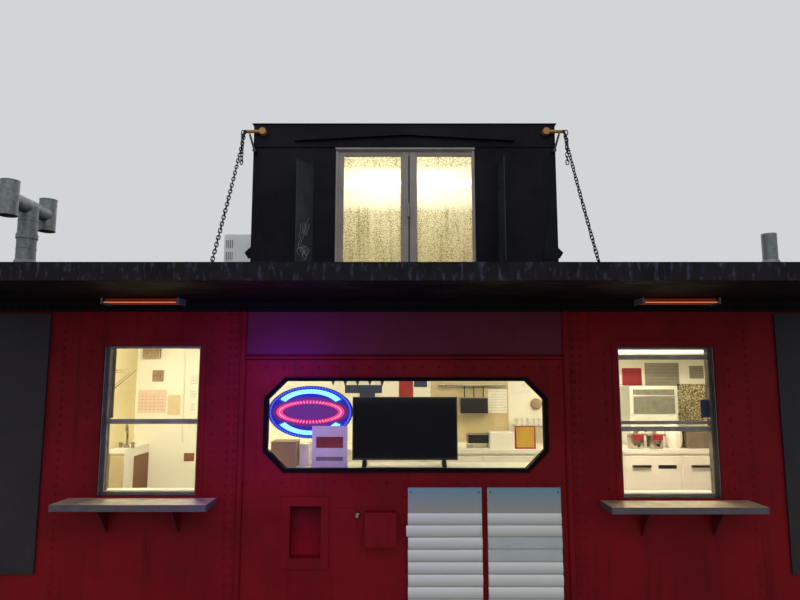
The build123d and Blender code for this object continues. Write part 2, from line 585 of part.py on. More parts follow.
# Brackets at the cupola's top corners, and the chains that hold the awning.
BRACKET_Z = 4184.0
BRACKET_ROOT = 934.0
BRACKET_TIP = 1058.0
BRACKET_Y = -HALF_WIDTH - 24
BRACKET_DISC = (23.0, 16.0)
BRACKET_ARM_R = 11.0
# (x at the wall, drop, reach of its lug, radius, lug radius) of the brace under each arm
BRACE = (984.0, 132.0, 14.0, 7.0, 12.0)
CHAIN_TOP = (14.0, 21.0, 6.0)
CHAIN_FOOT = (1052.0, -2110.0)
CHAIN_R, CHAIN_PLATE_R, CHAIN_PLATE_TALL = 9.0, 17.0, 40.0


def awning_top(y):
    """Gives the height of the awning's upper face at a distance y."""
    slope = (AWNING_WALL_Z + SHEET + 58 - FASCIA_TOP) / (AWNING_REACH - 40)
    return AWNING_WALL_Z + SHEET + 58 - slope * (-HALF_WIDTH - y)


with BuildPart() as chain_brackets:
    for end in (-1, 1):
        root, tip, foot = end * BRACKET_ROOT, end * BRACKET_TIP, end * BRACE[0]
        low = BRACKET_Z - BRACE[1]
        rod((root, -HALF_WIDTH, BRACKET_Z), (root, BRACKET_Y - BRACKET_DISC[1], BRACKET_Z), BRACKET_DISC[0])
        rod((root, BRACKET_Y, BRACKET_Z), (tip, BRACKET_Y, BRACKET_Z), BRACKET_ARM_R)
        rod((tip - end * 34, BRACKET_Y, BRACKET_Z), (foot, BRACKET_Y, low), BRACE[3])
        rod((foot, -HALF_WIDTH, low), (foot, BRACKET_Y - BRACE[2], low), BRACE[4])
finish(chain_brackets.part, "chain_brackets")

with BuildPart() as awning_chains:
    for end in (-1, 1):
        foot_z = awning_top(CHAIN_FOOT[1])
        x, y = end * CHAIN_FOOT[0], CHAIN_FOOT[1]
        top = (end * (BRACKET_TIP - CHAIN_TOP[0]), BRACKET_Y - CHAIN_TOP[1], BRACKET_Z - CHAIN_TOP[2])
        rod(top, (x, y, foot_z + 26), CHAIN_R)
        rod((x, y, foot_z + 1), (x, y, foot_z + CHAIN_PLATE_TALL), CHAIN_PLATE_R)
finish(awning_chains.part, "awning_chains")

# Heat lamps under the awning, above the serving windows: a trapezoidal shade on two straps.
HEAT_LAMPS = (-1576.0, 1644.0)
LAMP_HALF = 228.0
SHADE = ((-1735.0, 3018.0), (-1615.0, 3018.0), (-1640.0, 3044.0), (-1710.0, 3044.0))
LAMP_STRAP = (170.0, 12.0, -1680.0, -1670.0, 3042.0, 3051.0)
with BuildPart() as heat_lamps:
    for x in HEAT_LAMPS:
        prism(Plane.YZ.offset(x - LAMP_HALF), SHADE, 2 * LAMP_HALF)
        for dx in (-LAMP_STRAP[0], LAMP_STRAP[0]):
            slab((x + dx - LAMP_STRAP[1], x + dx + LAMP_STRAP[1]), LAMP_STRAP[2:4], LAMP_STRAP[4:])
finish(heat_lamps.part, "heat_lamps")

# Serving shelves: a folded top on two gusset brackets each.
SHELVES = ((-1616.0, 1838.0), (1662.0, 1824.0))
SHELF_HALF, SHELF_DEEP, SHELF_THICK = 457.0, 220.0, 38.0
GUSSET_X, GUSSET_THICK = (-210.0, 230.0), 8.0
# (reach, drop) of the corners of a gusset below the shelf
GUSSET = ((0.0, 0.0), (170.0, 0.0), (150.0, 16.0), (0.0, 175.0))
with BuildPart() as serving_shelves:
    for x, top in SHELVES:
        deep = (-HALF_WIDTH - SHELF_DEEP, -HALF_WIDTH)
        slab((x - SHELF_HALF, x + SHELF_HALF), deep, (top - SHELF_THICK, top))
        for dx in GUSSET_X:
            prism(Plane.YZ.offset(x + dx - GUSSET_THICK / 2),
                  [(-HALF_WIDTH - reach, top - SHELF_THICK - drop) for reach, drop in GUSSET], GUSSET_THICK)
finish(serving_shelves.part, "serving_shelves")

# Blank boards: two flavour boards under the picture window and two tall menu boards.
FLAVOUR_BOARDS = ((20.0, 472.0), (508.0, 958.0))
FLAVOUR_Z, FLAVOUR_THICK = (1040.0, 1902.0), 20.0
MENU_BOARDS = ((-3472.0, -2252.0), (2352.0, 3572.0))
MENU_Z, MENU_THICK = (1390.0, 2980.0), 12.0
with BuildPart() as flavour_boards:
    for span in FLAVOUR_BOARDS:
        slab(span, (-HALF_WIDTH - FLAVOUR_THICK, -HALF_WIDTH), FLAVOUR_Z)
finish(flavour_boards.part, "flavour_boards")

with BuildPart() as menu_boards:
    for span in MENU_BOARDS:
        slab(span, (-HALF_WIDTH - MENU_THICK, -HALF_WIDTH), MENU_Z)
finish(menu_boards.part, "menu_boards")

# Inside, seen through the glass: counters, a light sign, a television and ceiling lights.
# (span along the car, cabinet front, worktop edge, cabinet top, worktop top, side of the car) of each
COUNTERS = (
    ((-2850.0, -2700.0), 790.0, 770.0, 1842.0, 1880.0, 1),
    ((-1980.0, 3300.0), 790.0, 770.0, 1842.0, 1880.0, 1),
    ((-990.0, 990.0), 1010.0, 990.0, 1960.0, 1990.0, -1),
)
TOE_KICK = (60.0, 100.0)
with BuildPart() as counters:
    for span, cabinet, edge, cabinet_top, top, side in COUNTERS:
        prism(
            Plane.YZ.offset(span[0]),
            [(side * y, z) for y, z in (
                (INNER_Y, DECK_TOP), (cabinet + TOE_KICK[0], DECK_TOP),
                (cabinet + TOE_KICK[0], DECK_TOP + TOE_KICK[1]), (cabinet, DECK_TOP + TOE_KICK[1]),
                (cabinet, cabinet_top), (edge, cabinet_top), (edge, top), (INNER_Y, top),
            )],
            span[1] - span[0],
        )
finish(counters.part, "counters")

# A short cross wall shuts off the left end of the room beside the far counter.
PARTITION = ((-2950.0, -2870.0), (500.0, INNER_Y), (DECK_TOP, 3180.0))
with BuildPart() as partition:
    slab(*PARTITION)
finish(partition.part, "partition")

SIGN_CENTRE, SIGN_HALVES, SIGN_THICK = (-605.0, -1352.0, 2355.0), (272.0, 166.0), 26.0
with BuildPart() as light_sign:
    with BuildSketch(Plane(origin=SIGN_CENTRE, x_dir=(1, 0, 0), z_dir=(0, -1, 0))):
        Ellipse(*SIGN_HALVES)
    extrude(amount=-SIGN_THICK)
finish(light_sign.part, "light_sign")

# A flat screen with a thicker middle at its back, on two splayed feet.
SCREEN_X, SCREEN_Z = (-347.0, 355.0), (2030.0, 2445.0)
SCREEN_Y = (-1175.0, -1145.0, -1110.0)
FOOT_X, FOOT_HALF = (-265.0, 265.0), 14.0
FEET = ((-1230.0, 1990.0), (-1070.0, 1990.0), (-1145.0, 2031.0), (-1160.0, 2031.0))
with BuildPart() as television:
    slab(SCREEN_X, SCREEN_Y[:2], SCREEN_Z)
    slab((SCREEN_X[0] + 150, SCREEN_X[1] - 150), SCREEN_Y[1:], (SCREEN_Z[0] + 40, SCREEN_Z[1] - 130))
    for x in FOOT_X:
        prism(Plane.YZ.offset(x - FOOT_HALF), FEET, 2 * FOOT_HALF)
finish(television.part, "television")

# (low x, high x, height of its top) of the ceiling tubes' diffusers
TUBES = (
    (-2650.0, -1300.0, CEILING_CROWN - 3),
    (1300.0, 2650.0, CEILING_CROWN - 3),
    (-600.0, 600.0, CUPOLA_CROWN - 74),
)
TUBE_HALF, TUBE_TALL, TUBE_LIP = 70.0, 55.0, 30.0
with BuildPart() as ceiling_lights:
    for x0, x1, top in TUBES:
        lip, low = top - TUBE_LIP, top - TUBE_TALL
        prism(Plane.YZ.offset(x0), [(-TUBE_HALF, top), (-TUBE_HALF, lip), (-TUBE_LIP, low),
                                    (TUBE_LIP, low), (TUBE_HALF, lip), (TUBE_HALF, top)], x1 - x0)
finish(ceiling_lights.part, "ceiling_lights")

# Roof fittings: the stove's smoke jack with its cross-armed cap, a vent stack and a condenser.
JACK_X, JACK_R = -3335.0, 80.0
JACK_BAND = (3790.0, 3830.0, 9.0)
CAP_Z, CAP_ARM, CAP_ARM_R = 4080.0, 290.0, 68.0
CAP_R, CAP_HALF, CAP_MOUTH, CAP_WALL = 75.0, 150.0, 70.0, 5.0
VENT_X, VENT_R, VENT_WALL = 3240.0, 62.0, 5.0
VENT_TOP, VENT_FLOOR = 3836.0, 3600.0
with BuildPart() as roof_stacks:
    rod((JACK_X, 0, ROOF_CROWN), (JACK_X, 0, CAP_Z), JACK_R)
    rod((JACK_X, 0, JACK_BAND[0]), (JACK_X, 0, JACK_BAND[1]), JACK_R + JACK_BAND[2])
    rod((JACK_X, -CAP_ARM, CAP_Z), (JACK_X, CAP_ARM, CAP_Z), CAP_ARM_R)
    for side in (-1, 1):
        y = side * CAP_ARM
        rod((JACK_X, y, CAP_Z - CAP_HALF), (JACK_X, y, CAP_Z + CAP_HALF), CAP_R)
        for way in (-1, 1):
            rod((JACK_X, y, CAP_Z + way * (CAP_HALF - CAP_MOUTH)), (JACK_X, y, CAP_Z + way * (CAP_HALF + 1)),
                CAP_R - CAP_WALL, mode=Mode.SUBTRACT)
    rod((VENT_X, 0, ROOF_CROWN), (VENT_X, 0, VENT_TOP), VENT_R)
    rod((VENT_X, 0, VENT_FLOOR), (VENT_X, 0, VENT_TOP + 1), VENT_R - VENT_WALL, mode=Mode.SUBTRACT)
finish(roof_stacks.part, "roof_stacks")

CONDENSER_X, CONDENSER_Y, CONDENSER_Z = (-1690.0, -1390.0), (350.0, 1050.0), (3500.0, 3914.0)
CONDENSER_EDGE = 18.0
# (low y, high y, foot z) of its legs, which stand on the arched roof
CONDENSER_LEGS = ((400.0, 430.0, 3479.0), (970.0, 1000.0, 3373.0))
LEG_X, LEG_HALF = (-1660.0, -1420.0), 20.0
with BuildPart() as roof_air_conditioner:
    slab(CONDENSER_X, CONDENSER_Y, CONDENSER_Z)
    chamfer(roof_air_conditioner.edges().filter_by(Axis.Z), length=CONDENSER_EDGE)
    for x in LEG_X:
        for low, high, foot in CONDENSER_LEGS:
            slab((x - LEG_HALF, x + LEG_HALF), (low, high), (foot, CONDENSER_Z[0]))
finish(roof_air_conditioner.part, "roof_air_conditioner")

# End platforms: corner posts, pipe railings, a roof ladder and the brake staff.
RAIL_X = 4750.0
PIPE_R = 17.0
RAIL_TOP, RAIL_MIDDLE = 2150.0, 1650.0
GATE_Y, POST_Y, CORNER_Y = 330.0, 880.0, 1425.0
CORNER_POST = (22.0, 25.0)
# (distance from the middle, top) of the two ladder stiles, whose stubs meet the curved roof edge
LADDER_STILES = ((900.0, 3364.0), (1300.0, 3254.0))
LADDER_X, LADDER_LOW = 4822.0, 930.0
# (half thickness, half width) of a stile, a flat bar
STILE = (6.0, 25.0)
STUB_Z, STUB_TALL = 1000.0, 14.0
RUNGS, RUNG_LOW, RUNG_PITCH, RUNG_R = 6, 1330.0, 370.0, 11.0
with BuildPart() as end_railings:
    for end in (-1, 1):
        for side in (-1, 1):
            x, y = end * (RAIL_X - 25), side * CORNER_Y
            slab((x - CORNER_POST[0], x + CORNER_POST[0]), (y - CORNER_POST[0], y + CORNER_POST[0]),
                 (DECK_TOP, EAVE_Z))
            pipe([(end * RAIL_X, side * GATE_Y, DECK_TOP), (end * RAIL_X, side * GATE_Y, RAIL_TOP),
                  (end * RAIL_X, y, RAIL_TOP)], 110, PIPE_R)
            rod((end * RAIL_X, side * GATE_Y, RAIL_MIDDLE), (end * RAIL_X, y, RAIL_MIDDLE), PIPE_R - 3)
            rod((end * RAIL_X, side * POST_Y, DECK_TOP), (end * RAIL_X, side * POST_Y, RAIL_TOP), PIPE_R - 3)
        for y, top in LADDER_STILES:
            x, y = end * LADDER_X, end * y
            thick = (x - STILE[0], x + STILE[0])
            width = (y - STILE[1], y + STILE[1])
            slab(thick, width, (LADDER_LOW, top))
            slab(sorted((end * ROOF_X, x)), width, (top - 2 * STUB_TALL, top - STUB_TALL))
            slab(sorted((end * SILL_X, x)), width, (STUB_Z - STUB_TALL / 2, STUB_Z + STUB_TALL / 2))
        for step in range(RUNGS):
            z = RUNG_LOW + step * RUNG_PITCH
            near, far = [(end * LADDER_X, end * y, z) for y, top in LADDER_STILES]
            rod(near, far, RUNG_R)
finish(end_railings.part, "end_railings")

# The brake wheel's spokes rise from its rim to the hub.
STAFF = (4700.0, -600.0)
STAFF_R, STAFF_TOP = 16.0, 2230.0
HUB_R, HUB_Z, HUB_TALL = 44.0, 2195.0, 30.0
RIM_R, RIM_WIDE, RIM_Z, RIM_TALL = 218.0, 24.0, 2203.0, 24.0
SPOKES, SPOKE_R = 4, 9.0
with BuildPart() as brake_wheel:
    rod((*STAFF, DECK_TOP), (*STAFF, STAFF_TOP), STAFF_R)
    rod((*STAFF, HUB_Z), (*STAFF, HUB_Z + HUB_TALL), HUB_R)
    with BuildSketch(Plane.XY.offset(RIM_Z)):
        with Locations(STAFF):
            Circle(RIM_R)
            Circle(RIM_R - RIM_WIDE, mode=Mode.SUBTRACT)
    extrude(amount=RIM_TALL)
    for k in range(SPOKES):
        angle = radians(45 + 360 / SPOKES * k)
        reach = RIM_R - RIM_WIDE + 6
        x, y = STAFF[0] + reach * cos(angle), STAFF[1] + reach * sin(angle)
        rod((*STAFF, RIM_Z + 9), (x, y, RIM_Z + 12), SPOKE_R)
finish(brake_wheel.part, "brake_wheel")

# Steps: three treads between two stringers at each corner.
STRINGER = 12.0
STRINGER_OUTLINE = (
    (STEP_INNER_Y, DECK_TOP), (1445.0, DECK_TOP), (1445.0, 340.0), (1225.0, 340.0), (STEP_INNER_Y, 870.0),
)
# (top, inner edge) of each tread
TREADS = ((370.0, 1240.0), (640.0, 1130.0), (905.0, 1030.0))
TREAD_DEEP, TREAD_TALL, TREAD_THICK = 200.0, 28.0, 8.0
with BuildPart() as steps:
    for end in (-1, 1):
        for side in (-1, 1):
            for x in (STEP_X[0], STEP_X[1] - STRINGER):
                low = min(end * x, end * (x + STRINGER))
                prism(Plane.YZ.offset(low), [(side * y, z) for y, z in STRINGER_OUTLINE], STRINGER)
            low, high = sorted((end * (STEP_X[0] + STRINGER), end * (STEP_X[1] - STRINGER)))
            for top, inner in TREADS:
                # Each tread is a plate with its front and back edges folded down.
                y0, y1, bottom, thin = inner, inner + TREAD_DEEP, top - TREAD_TALL, TREAD_THICK
                channel = ((y0, bottom), (y0, top), (y1, top), (y1, bottom), (y1 - thin, bottom),
                           (y1 - thin, top - thin), (y0 + thin, top - thin), (y0 + thin, bottom))
                prism(Plane.YZ.offset(low), [(side * y, z) for y, z in channel], high - low)
finish(steps.part, "steps")

# Couplers: a shank in the centre sill, a head with its guard arm, and the knuckle on its pin.
SHANK = (4560.0, 5010.0, 62.0, 80.0)
# Outline of the head from above, and of the knuckle, both with rounded corners
HEAD = (
    (4985.0, -66.0), (5075.0, -158.0), (5225.0, -172.0), (5335.0, -148.0), (5330.0, -100.0), (5225.0, -92.0),
    (5200.0, -30.0), (5200.0, 40.0), (5215.0, 142.0), (5070.0, 136.0), (4985.0, 66.0),
)
KNUCKLE = (
    (5150.0, 132.0), (5150.0, 40.0), (5215.0, 18.0), (5300.0, 6.0), (5346.0, 34.0), (5350.0, 84.0),
    (5310.0, 128.0), (5210.0, 152.0),
)
HEAD_HALF, KNUCKLE_HALF = 115.0, 140.0
HEAD_ROUND, KNUCKLE_ROUND = 12.0, 18.0
KNUCKLE_PIN = (5180.0, 96.0, 24.0, 165.0)
with BuildPart() as couplers:
    for end in (-1, 1):
        length = sorted((end * SHANK[0], end * SHANK[1]))
        slab(length, (-SHANK[2], SHANK[2]), (COUPLER_Z - SHANK[3], COUPLER_Z + SHANK[3]))
        for points, half, bend in ((HEAD, HEAD_HALF, HEAD_ROUND), (KNUCKLE, KNUCKLE_HALF, KNUCKLE_ROUND)):
            with BuildSketch(Plane.XY.offset(COUPLER_Z - half)) as form:
                with BuildLine():
                    Polyline(*[(end * x, end * y) for x, y in points], close=True)
                make_face()
                fillet(form.vertices(), radius=bend)
            extrude(amount=2 * half)
        x, y, radius, half = KNUCKLE_PIN
        rod((end * x, end * y, COUPLER_Z - half), (end * x, end * y, COUPLER_Z + half), radius)
finish(couplers.part, "couplers")

# Under the floor: the tool box on two hangers, and the air reservoir in its straps.
TOOL_BOX_HALF = 550.0
TOOL_BOX = ((-1340.0, 500.0), (-820.0, 500.0), (-820.0, 790.0), (-870.0, 835.0), (-1340.0, 835.0))
HANGERS = ((-420.0, 420.0), 30.0, (-1330.0, -1290.0))
RESERVOIR_Y, RESERVOIR_Z, RESERVOIR_R, RESERVOIR_HALF = 1050.0, 690.0, 180.0, 560.0
STRAPS = ((-380.0, 380.0), 25.0, 6.0)
STRAP_BAR = (1220.0, 1335.0)
with BuildPart() as floor_boxes:
    prism(Plane.YZ.offset(-TOOL_BOX_HALF), TOOL_BOX, 2 * TOOL_BOX_HALF)
    for x in HANGERS[0]:
        slab((x - HANGERS[1], x + HANGERS[1]), HANGERS[2], (TOOL_BOX[3][1], SIDE_BOTTOM))
    middle = (RESERVOIR_Y, RESERVOIR_Z)
    rod((-RESERVOIR_HALF, *middle), (RESERVOIR_HALF, *middle), RESERVOIR_R)
    for x in STRAPS[0]:
        rod((x - STRAPS[1], *middle), (x + STRAPS[1], *middle), RESERVOIR_R + STRAPS[2])
        slab((x - STRAPS[1], x + STRAPS[1]), STRAP_BAR, (RESERVOIR_Z, SIDE_BOTTOM))
finish(floor_boxes.part, "underfloor_boxes")

# Trucks: cast side frames with journal boxes, a bolster on springs, brake beams, and two wheelsets each.
# Half outline of a side frame from its middle: top chord, pedestal and bottom chord, in (x, z)
FRAME_OUTLINE = (
    (0.0, 775.0), (270.0, 775.0), (700.0, 625.0), (950.0, 600.0), (950.0, 325.0), (725.0, 325.0),
    (640.0, 345.0), (330.0, 225.0), (0.0, 225.0),
)
# Opening between the column and the pedestal
FRAME_WINDOW = (
    (262.0, 695.0), (262.0, 300.0), (330.0, 300.0), (690.0, 425.0), (690.0, 565.0), (300.0, 695.0),
)
# Pockets that leave the chords as flanged beams: upper chord, lower chord and the middle of the bottom
FRAME_POCKETS = (
    ((285.0, 748.0), (300.0, 716.0), (685.0, 585.0), (690.0, 608.0)),
    ((345.0, 275.0), (340.0, 248.0), (636.0, 366.0), (676.0, 396.0)),
)
POCKET_DEEP = 22.0
BOLSTER_GAP = (210.0, 330.0, 695.0)
# Section of a journal box across the car, in distance from the middle and height from the axle
JOURNAL_BOX = ((915.0, -118.0), (1068.0, -112.0), (1088.0, 52.0), (1062.0, 128.0), (915.0, 128.0))
JOURNAL_BOX_HALF = 112.0
LID = ((1071.0, -96.0), (1083.0, -98.0), (1103.0, 60.0), (1091.0, 62.0))
LID_HALF = 96.0
LID_PIN_R = 15.0
JOURNAL_BORE = (910.0, 1062.0, 6.0)
# Section of the truck bolster across the car, half of it
BOLSTER_SECTION = (
    (0.0, 690.0), (880.0, 690.0), (1075.0, 640.0), (1075.0, 520.0), (900.0, 520.0), (420.0, 430.0),
    (0.0, 430.0),
)
BOLSTER_HALF = 150.0
CENTRE_BOWL = (32.0, 8.0, 22.0)
BEARING_PAD = (220.0, 80.0)
SPRING_X, SPRING_Y, SPRING_Z, SPRING_R = 75.0, 990.0, (330.0, 520.0), 66.0
BEAM_X, BEAM_Z, BEAM_R, BEAM_HALF = 352.0, 400.0, 24.0, 925.0
# (thickness, width, top) of the lever that works each beam
LEVER = (14.0, 46.0, 640.0)
BOTTOM_ROD_Z, BOTTOM_ROD_R = 322.0, 15.0
SHOE_Y, SHOE_HALF, SHOE_GAP, SHOE_THICK = 758.0, 42.0, 12.0, 40.0
SHOE_WEDGE = ((0.0, 0.0), (600.0, -250.0), (600.0, 150.0))
# (distance from the middle, radius) round one wheel: plate, rim back, flange, coned tread, rim front and hub
WHEEL = (
    (722.0, 0.0), (722.0, 352.0), (BACK_TO_BACK / 2, 352.0), (BACK_TO_BACK / 2, FLANGE_RADIUS),
    (696.0, FLANGE_RADIUS), (708.0, TREAD_RADIUS + 2), (816.5, TREAD_RADIUS - 4), (816.5, 352.0),
    (760.0, 352.0), (760.0, 122.0), (810.0, 122.0), (810.0, 0.0),
)
AXLE_R, AXLE_SEAT, AXLE_END = 78.0, 812.0, 1055.0

for truck, centre in (("left", -TRUCK_X), ("right", TRUCK_X)):
    with BuildPart() as side_frames:
        for side in (-1, 1):
            plane = Plane(origin=(centre, side * FRAME_Y[1], 0), x_dir=(1, 0, 0), z_dir=(0, -1, 0))
            reach = side * (FRAME_Y[1] - FRAME_Y[0])
            prism(plane, list(FRAME_OUTLINE) + [(-x, z) for x, z in reversed(FRAME_OUTLINE[1:-1])], reach)
            for hand in (-1, 1):
                prism(plane, [(hand * x, z) for x, z in FRAME_WINDOW], reach, mode=Mode.SUBTRACT)
                for pocket in FRAME_POCKETS:
                    prism(plane, [(hand * x, z) for x, z in pocket], side * POCKET_DEEP, mode=Mode.SUBTRACT)
                box_x = centre + hand * WHEELBASE / 2
                for half, section in ((JOURNAL_BOX_HALF, JOURNAL_BOX), (LID_HALF, LID)):
                    corners = [(side * y, AXLE_Z + z) for y, z in section]
                    prism(Plane.YZ.offset(box_x - half), corners, 2 * half)
                y, z = side * (LID[3][0] - 6), AXLE_Z + LID[3][1] + 8
                rod((box_x - LID_HALF / 2, y, z), (box_x + LID_HALF / 2, y, z), LID_PIN_R)
                rod((box_x, side * JOURNAL_BORE[0], AXLE_Z), (box_x, side * JOURNAL_BORE[1], AXLE_Z),
                    JOURNAL_RADIUS + JOURNAL_BORE[2], mode=Mode.SUBTRACT)
            y = sorted((side * (FRAME_Y[0] - 20), side * (FRAME_Y[1] + 20)))
            slab((centre - BOLSTER_GAP[0], centre + BOLSTER_GAP[0]), y, BOLSTER_GAP[1:], mode=Mode.SUBTRACT)
    finish(side_frames.part, f"side_frames_{truck}")

    with BuildPart() as bolster:
        section = list(BOLSTER_SECTION) + [(-y, z) for y, z in reversed(BOLSTER_SECTION[1:-1])]
        prism(Plane.YZ.offset(centre - BOLSTER_HALF), section, 2 * BOLSTER_HALF)
        with BuildSketch(Plane.XY.offset(BOLSTER_SECTION[0][1])):
            with Locations((centre, 0)):
                Circle(CENTRE_PLATE_R + CENTRE_BOWL[0])
                Circle(CENTRE_PLATE_R + CENTRE_BOWL[1], mode=Mode.SUBTRACT)
            with Locations(*[(centre, side * SIDE_BEARING_Y) for side in (-1, 1)]):
                Rectangle(*BEARING_PAD)
        extrude(amount=CENTRE_BOWL[2])
    finish(bolster.part, f"truck_bolster_{truck}")

    with BuildPart() as springs:
        with BuildSketch(Plane.XY.offset(SPRING_Z[0])):
            with Locations((centre, -SPRING_Y), (centre, SPRING_Y)):
                with GridLocations(2 * SPRING_X, 0, 2, 1):
                    Circle(SPRING_R)
        extrude(amount=SPRING_Z[1] - SPRING_Z[0])
    finish(springs.part, f"springs_{truck}")

    with BuildPart() as brakes:
        for hand in (-1, 1):
            beam_x = centre + hand * BEAM_X
            axle_x = centre + hand * WHEELBASE / 2
            rod((beam_x, -BEAM_HALF, BEAM_Z), (beam_x, BEAM_HALF, BEAM_Z), BEAM_R)
            # The lever stands through the middle of the beam, from the bottom rod up.
            slab((beam_x - LEVER[1] / 2, beam_x + LEVER[1] / 2), (-LEVER[0] / 2, LEVER[0] / 2),
                 (BOTTOM_ROD_Z, LEVER[2]))
            for side in (-1, 1):
                plane = Plane(origin=(axle_x, side * SHOE_Y, AXLE_Z), x_dir=(1, 0, 0), z_dir=(0, -1, 0))
                with BuildSketch(plane):
                    Circle(TREAD_RADIUS + SHOE_GAP + SHOE_THICK)
                    Circle(TREAD_RADIUS + SHOE_GAP, mode=Mode.SUBTRACT)
                    with BuildLine():
                        Polyline(*[(-hand * x, z) for x, z in SHOE_WEDGE], close=True)
                    make_face(mode=Mode.INTERSECT)
                extrude(amount=SHOE_HALF, both=True)
        rod((centre - BEAM_X, 0, BOTTOM_ROD_Z), (centre + BEAM_X, 0, BOTTOM_ROD_Z), BOTTOM_ROD_R)
    finish(brakes.part, f"brake_beams_{truck}")

    for place in ("inner", "outer"):
        away = 1 if centre > 0 else -1
        axle_x = centre + (away if place == "outer" else -away) * WHEELBASE / 2
        with BuildPart() as wheelset:
            with BuildSketch(Plane(origin=(axle_x, 0, AXLE_Z), x_dir=(0, 1, 0), z_dir=(-1, 0, 0))):
                for side in (-1, 1):
                    with BuildLine():
                        Polyline(*[(side * y, r) for y, r in WHEEL], close=True)
                    make_face()
                with BuildLine():
                    Polyline((-AXLE_END, 0), (-AXLE_END, JOURNAL_RADIUS), (-AXLE_SEAT, JOURNAL_RADIUS),
                             (-AXLE_SEAT, AXLE_R), (AXLE_SEAT, AXLE_R), (AXLE_SEAT, JOURNAL_RADIUS),
                             (AXLE_END, JOURNAL_RADIUS), (AXLE_END, 0), close=True)
                make_face()
            revolve(axis=Axis((axle_x, 0, AXLE_Z), (0, 1, 0)))
        finish(wheelset.part, f"wheelset_{truck}_{place}")
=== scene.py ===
"""The looks of a riveted steel caboose with a centre cupola that is used as a serving stand."""

import logging
import math
import random
from collections.abc import Iterable, Sequence
from dataclasses import dataclass, replace
from enum import Enum
from functools import cache
from typing import Any

import bmesh
import bpy
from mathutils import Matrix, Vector


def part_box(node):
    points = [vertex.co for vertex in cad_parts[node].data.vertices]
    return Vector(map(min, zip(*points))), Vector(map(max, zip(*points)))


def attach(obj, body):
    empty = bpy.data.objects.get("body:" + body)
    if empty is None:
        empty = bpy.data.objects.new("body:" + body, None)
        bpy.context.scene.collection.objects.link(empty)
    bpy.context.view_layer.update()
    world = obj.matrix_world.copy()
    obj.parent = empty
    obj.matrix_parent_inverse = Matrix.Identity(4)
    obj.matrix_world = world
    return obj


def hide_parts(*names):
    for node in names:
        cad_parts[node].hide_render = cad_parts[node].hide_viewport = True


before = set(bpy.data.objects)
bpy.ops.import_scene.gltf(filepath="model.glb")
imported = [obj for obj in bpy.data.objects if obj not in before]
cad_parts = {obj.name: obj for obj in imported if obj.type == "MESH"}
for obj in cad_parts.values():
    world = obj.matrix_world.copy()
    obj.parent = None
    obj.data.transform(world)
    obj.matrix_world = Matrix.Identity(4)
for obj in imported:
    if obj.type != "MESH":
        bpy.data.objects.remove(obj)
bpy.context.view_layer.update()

LOG = logging.getLogger("caboose")
MM = 0.001
SIDE_Y = 1.45
AXLE_Z = 0.446
# Half the distance between the two axles of a truck.
HALF_WHEELBASE = 0.838
TRUCKS = (("left", -2.95), ("right", 2.95))
HANDS = (-1, 1)
ENDS = (("left", -1), ("right", 1))
CARBODY = "carbody"
GLASS_IOR = 1.22
# How far up a face points where dust and painted top light start to lie and where they are full, and how well
# they cover; then the same for painted shade on faces that look down.
DUST_AND_TOP_LIGHT_FACING = ((0.25, 0.95), 1.3)
PAINTED_SHADE_BELOW_FACING = ((-0.25, -0.8), 2.0)
Spot = tuple[float, float, float]
Pair = tuple[float, float]
Box = tuple[float, float, float, float]
Outline = Sequence[Pair]
Face = tuple[int, ...]
Tree = bpy.types.NodeTree
Node = bpy.types.Node
Socket = bpy.types.NodeSocket
Lamp = tuple[str, Spot, Spot, Pair, float, str]


def linear(code: str) -> tuple[float, float, float, float]:
    """Turns an sRGB hex colour into linear light.

    Args:
        code: six hex digits after a hash mark.

    Returns:
        Red, green, blue and an alpha of 1.
    """
    parts = (int(code[i:i + 2], 16) / 255 for i in (1, 3, 5))
    red, green, blue = (p / 12.92 if p <= 0.04045 else ((p + 0.055) / 1.055) ** 2.4 for p in parts)
    return red, green, blue, 1.0


def feed(tree: Tree, node: Node, inputs: dict[Any, Any]) -> None:
    """Gives a node's inputs their values and links.

    Args:
        tree: the material's node tree.
        node: the node.
        inputs: for each input's name or number, its constant, its hex colour or the socket that feeds it.
    """
    for key, value in inputs.items():
        if isinstance(value, Socket):
            tree.links.new(value, node.inputs[key])
        else:
            node.inputs[key].default_value = linear(value) if isinstance(value, str) else value


def add_node(tree: Tree, kind: str, inputs: dict[Any, Any] | None = None, **settings: Any) -> Node:
    """Adds one shader node.

    Args:
        tree: the material's node tree.
        kind: the node's type, without the words that all shader nodes start with.
        inputs: what feed takes.
        settings: the node's own settings.

    Returns:
        The new node.
    """
    node = tree.nodes.new(f"ShaderNode{kind}")
    for name, value in settings.items():
        setattr(node, name, value)
    feed(tree, node, inputs or {})
    return node


def per_metre(size_mm: float) -> float:
    """Gives the pattern scale whose features are size_mm across."""
    return 1 / (size_mm * MM)


@dataclass(frozen=True)
class Zone:
    """A painted band: heights in metres, half its length along the car, its colour and how well it covers."""

    low: float
    high: float
    half: float
    colour: str
    cover: float = 1.0


@dataclass(frozen=True)
class Stain:
    """Run-off marks: colour, width and length in millimetres, and the share of the surface they cover."""

    colour: str
    width_mm: float
    length_mm: float
    share: float


@dataclass(frozen=True)
class Surface:
    """Anything that a face can be made of."""

    name: str

    @cache
    def make(self) -> bpy.types.Material:
        """Builds the material once.

        Returns:
            The finished material.
        """
        material = bpy.data.materials.new(self.name)
        material.use_nodes = True
        tree = material.node_tree
        self.wire(tree, tree.nodes["Principled BSDF"])
        return material

    def wire(self, tree: Tree, shader: Node) -> None:
        """Sets the nodes up, each kind of surface in its own way."""
        raise NotImplementedError


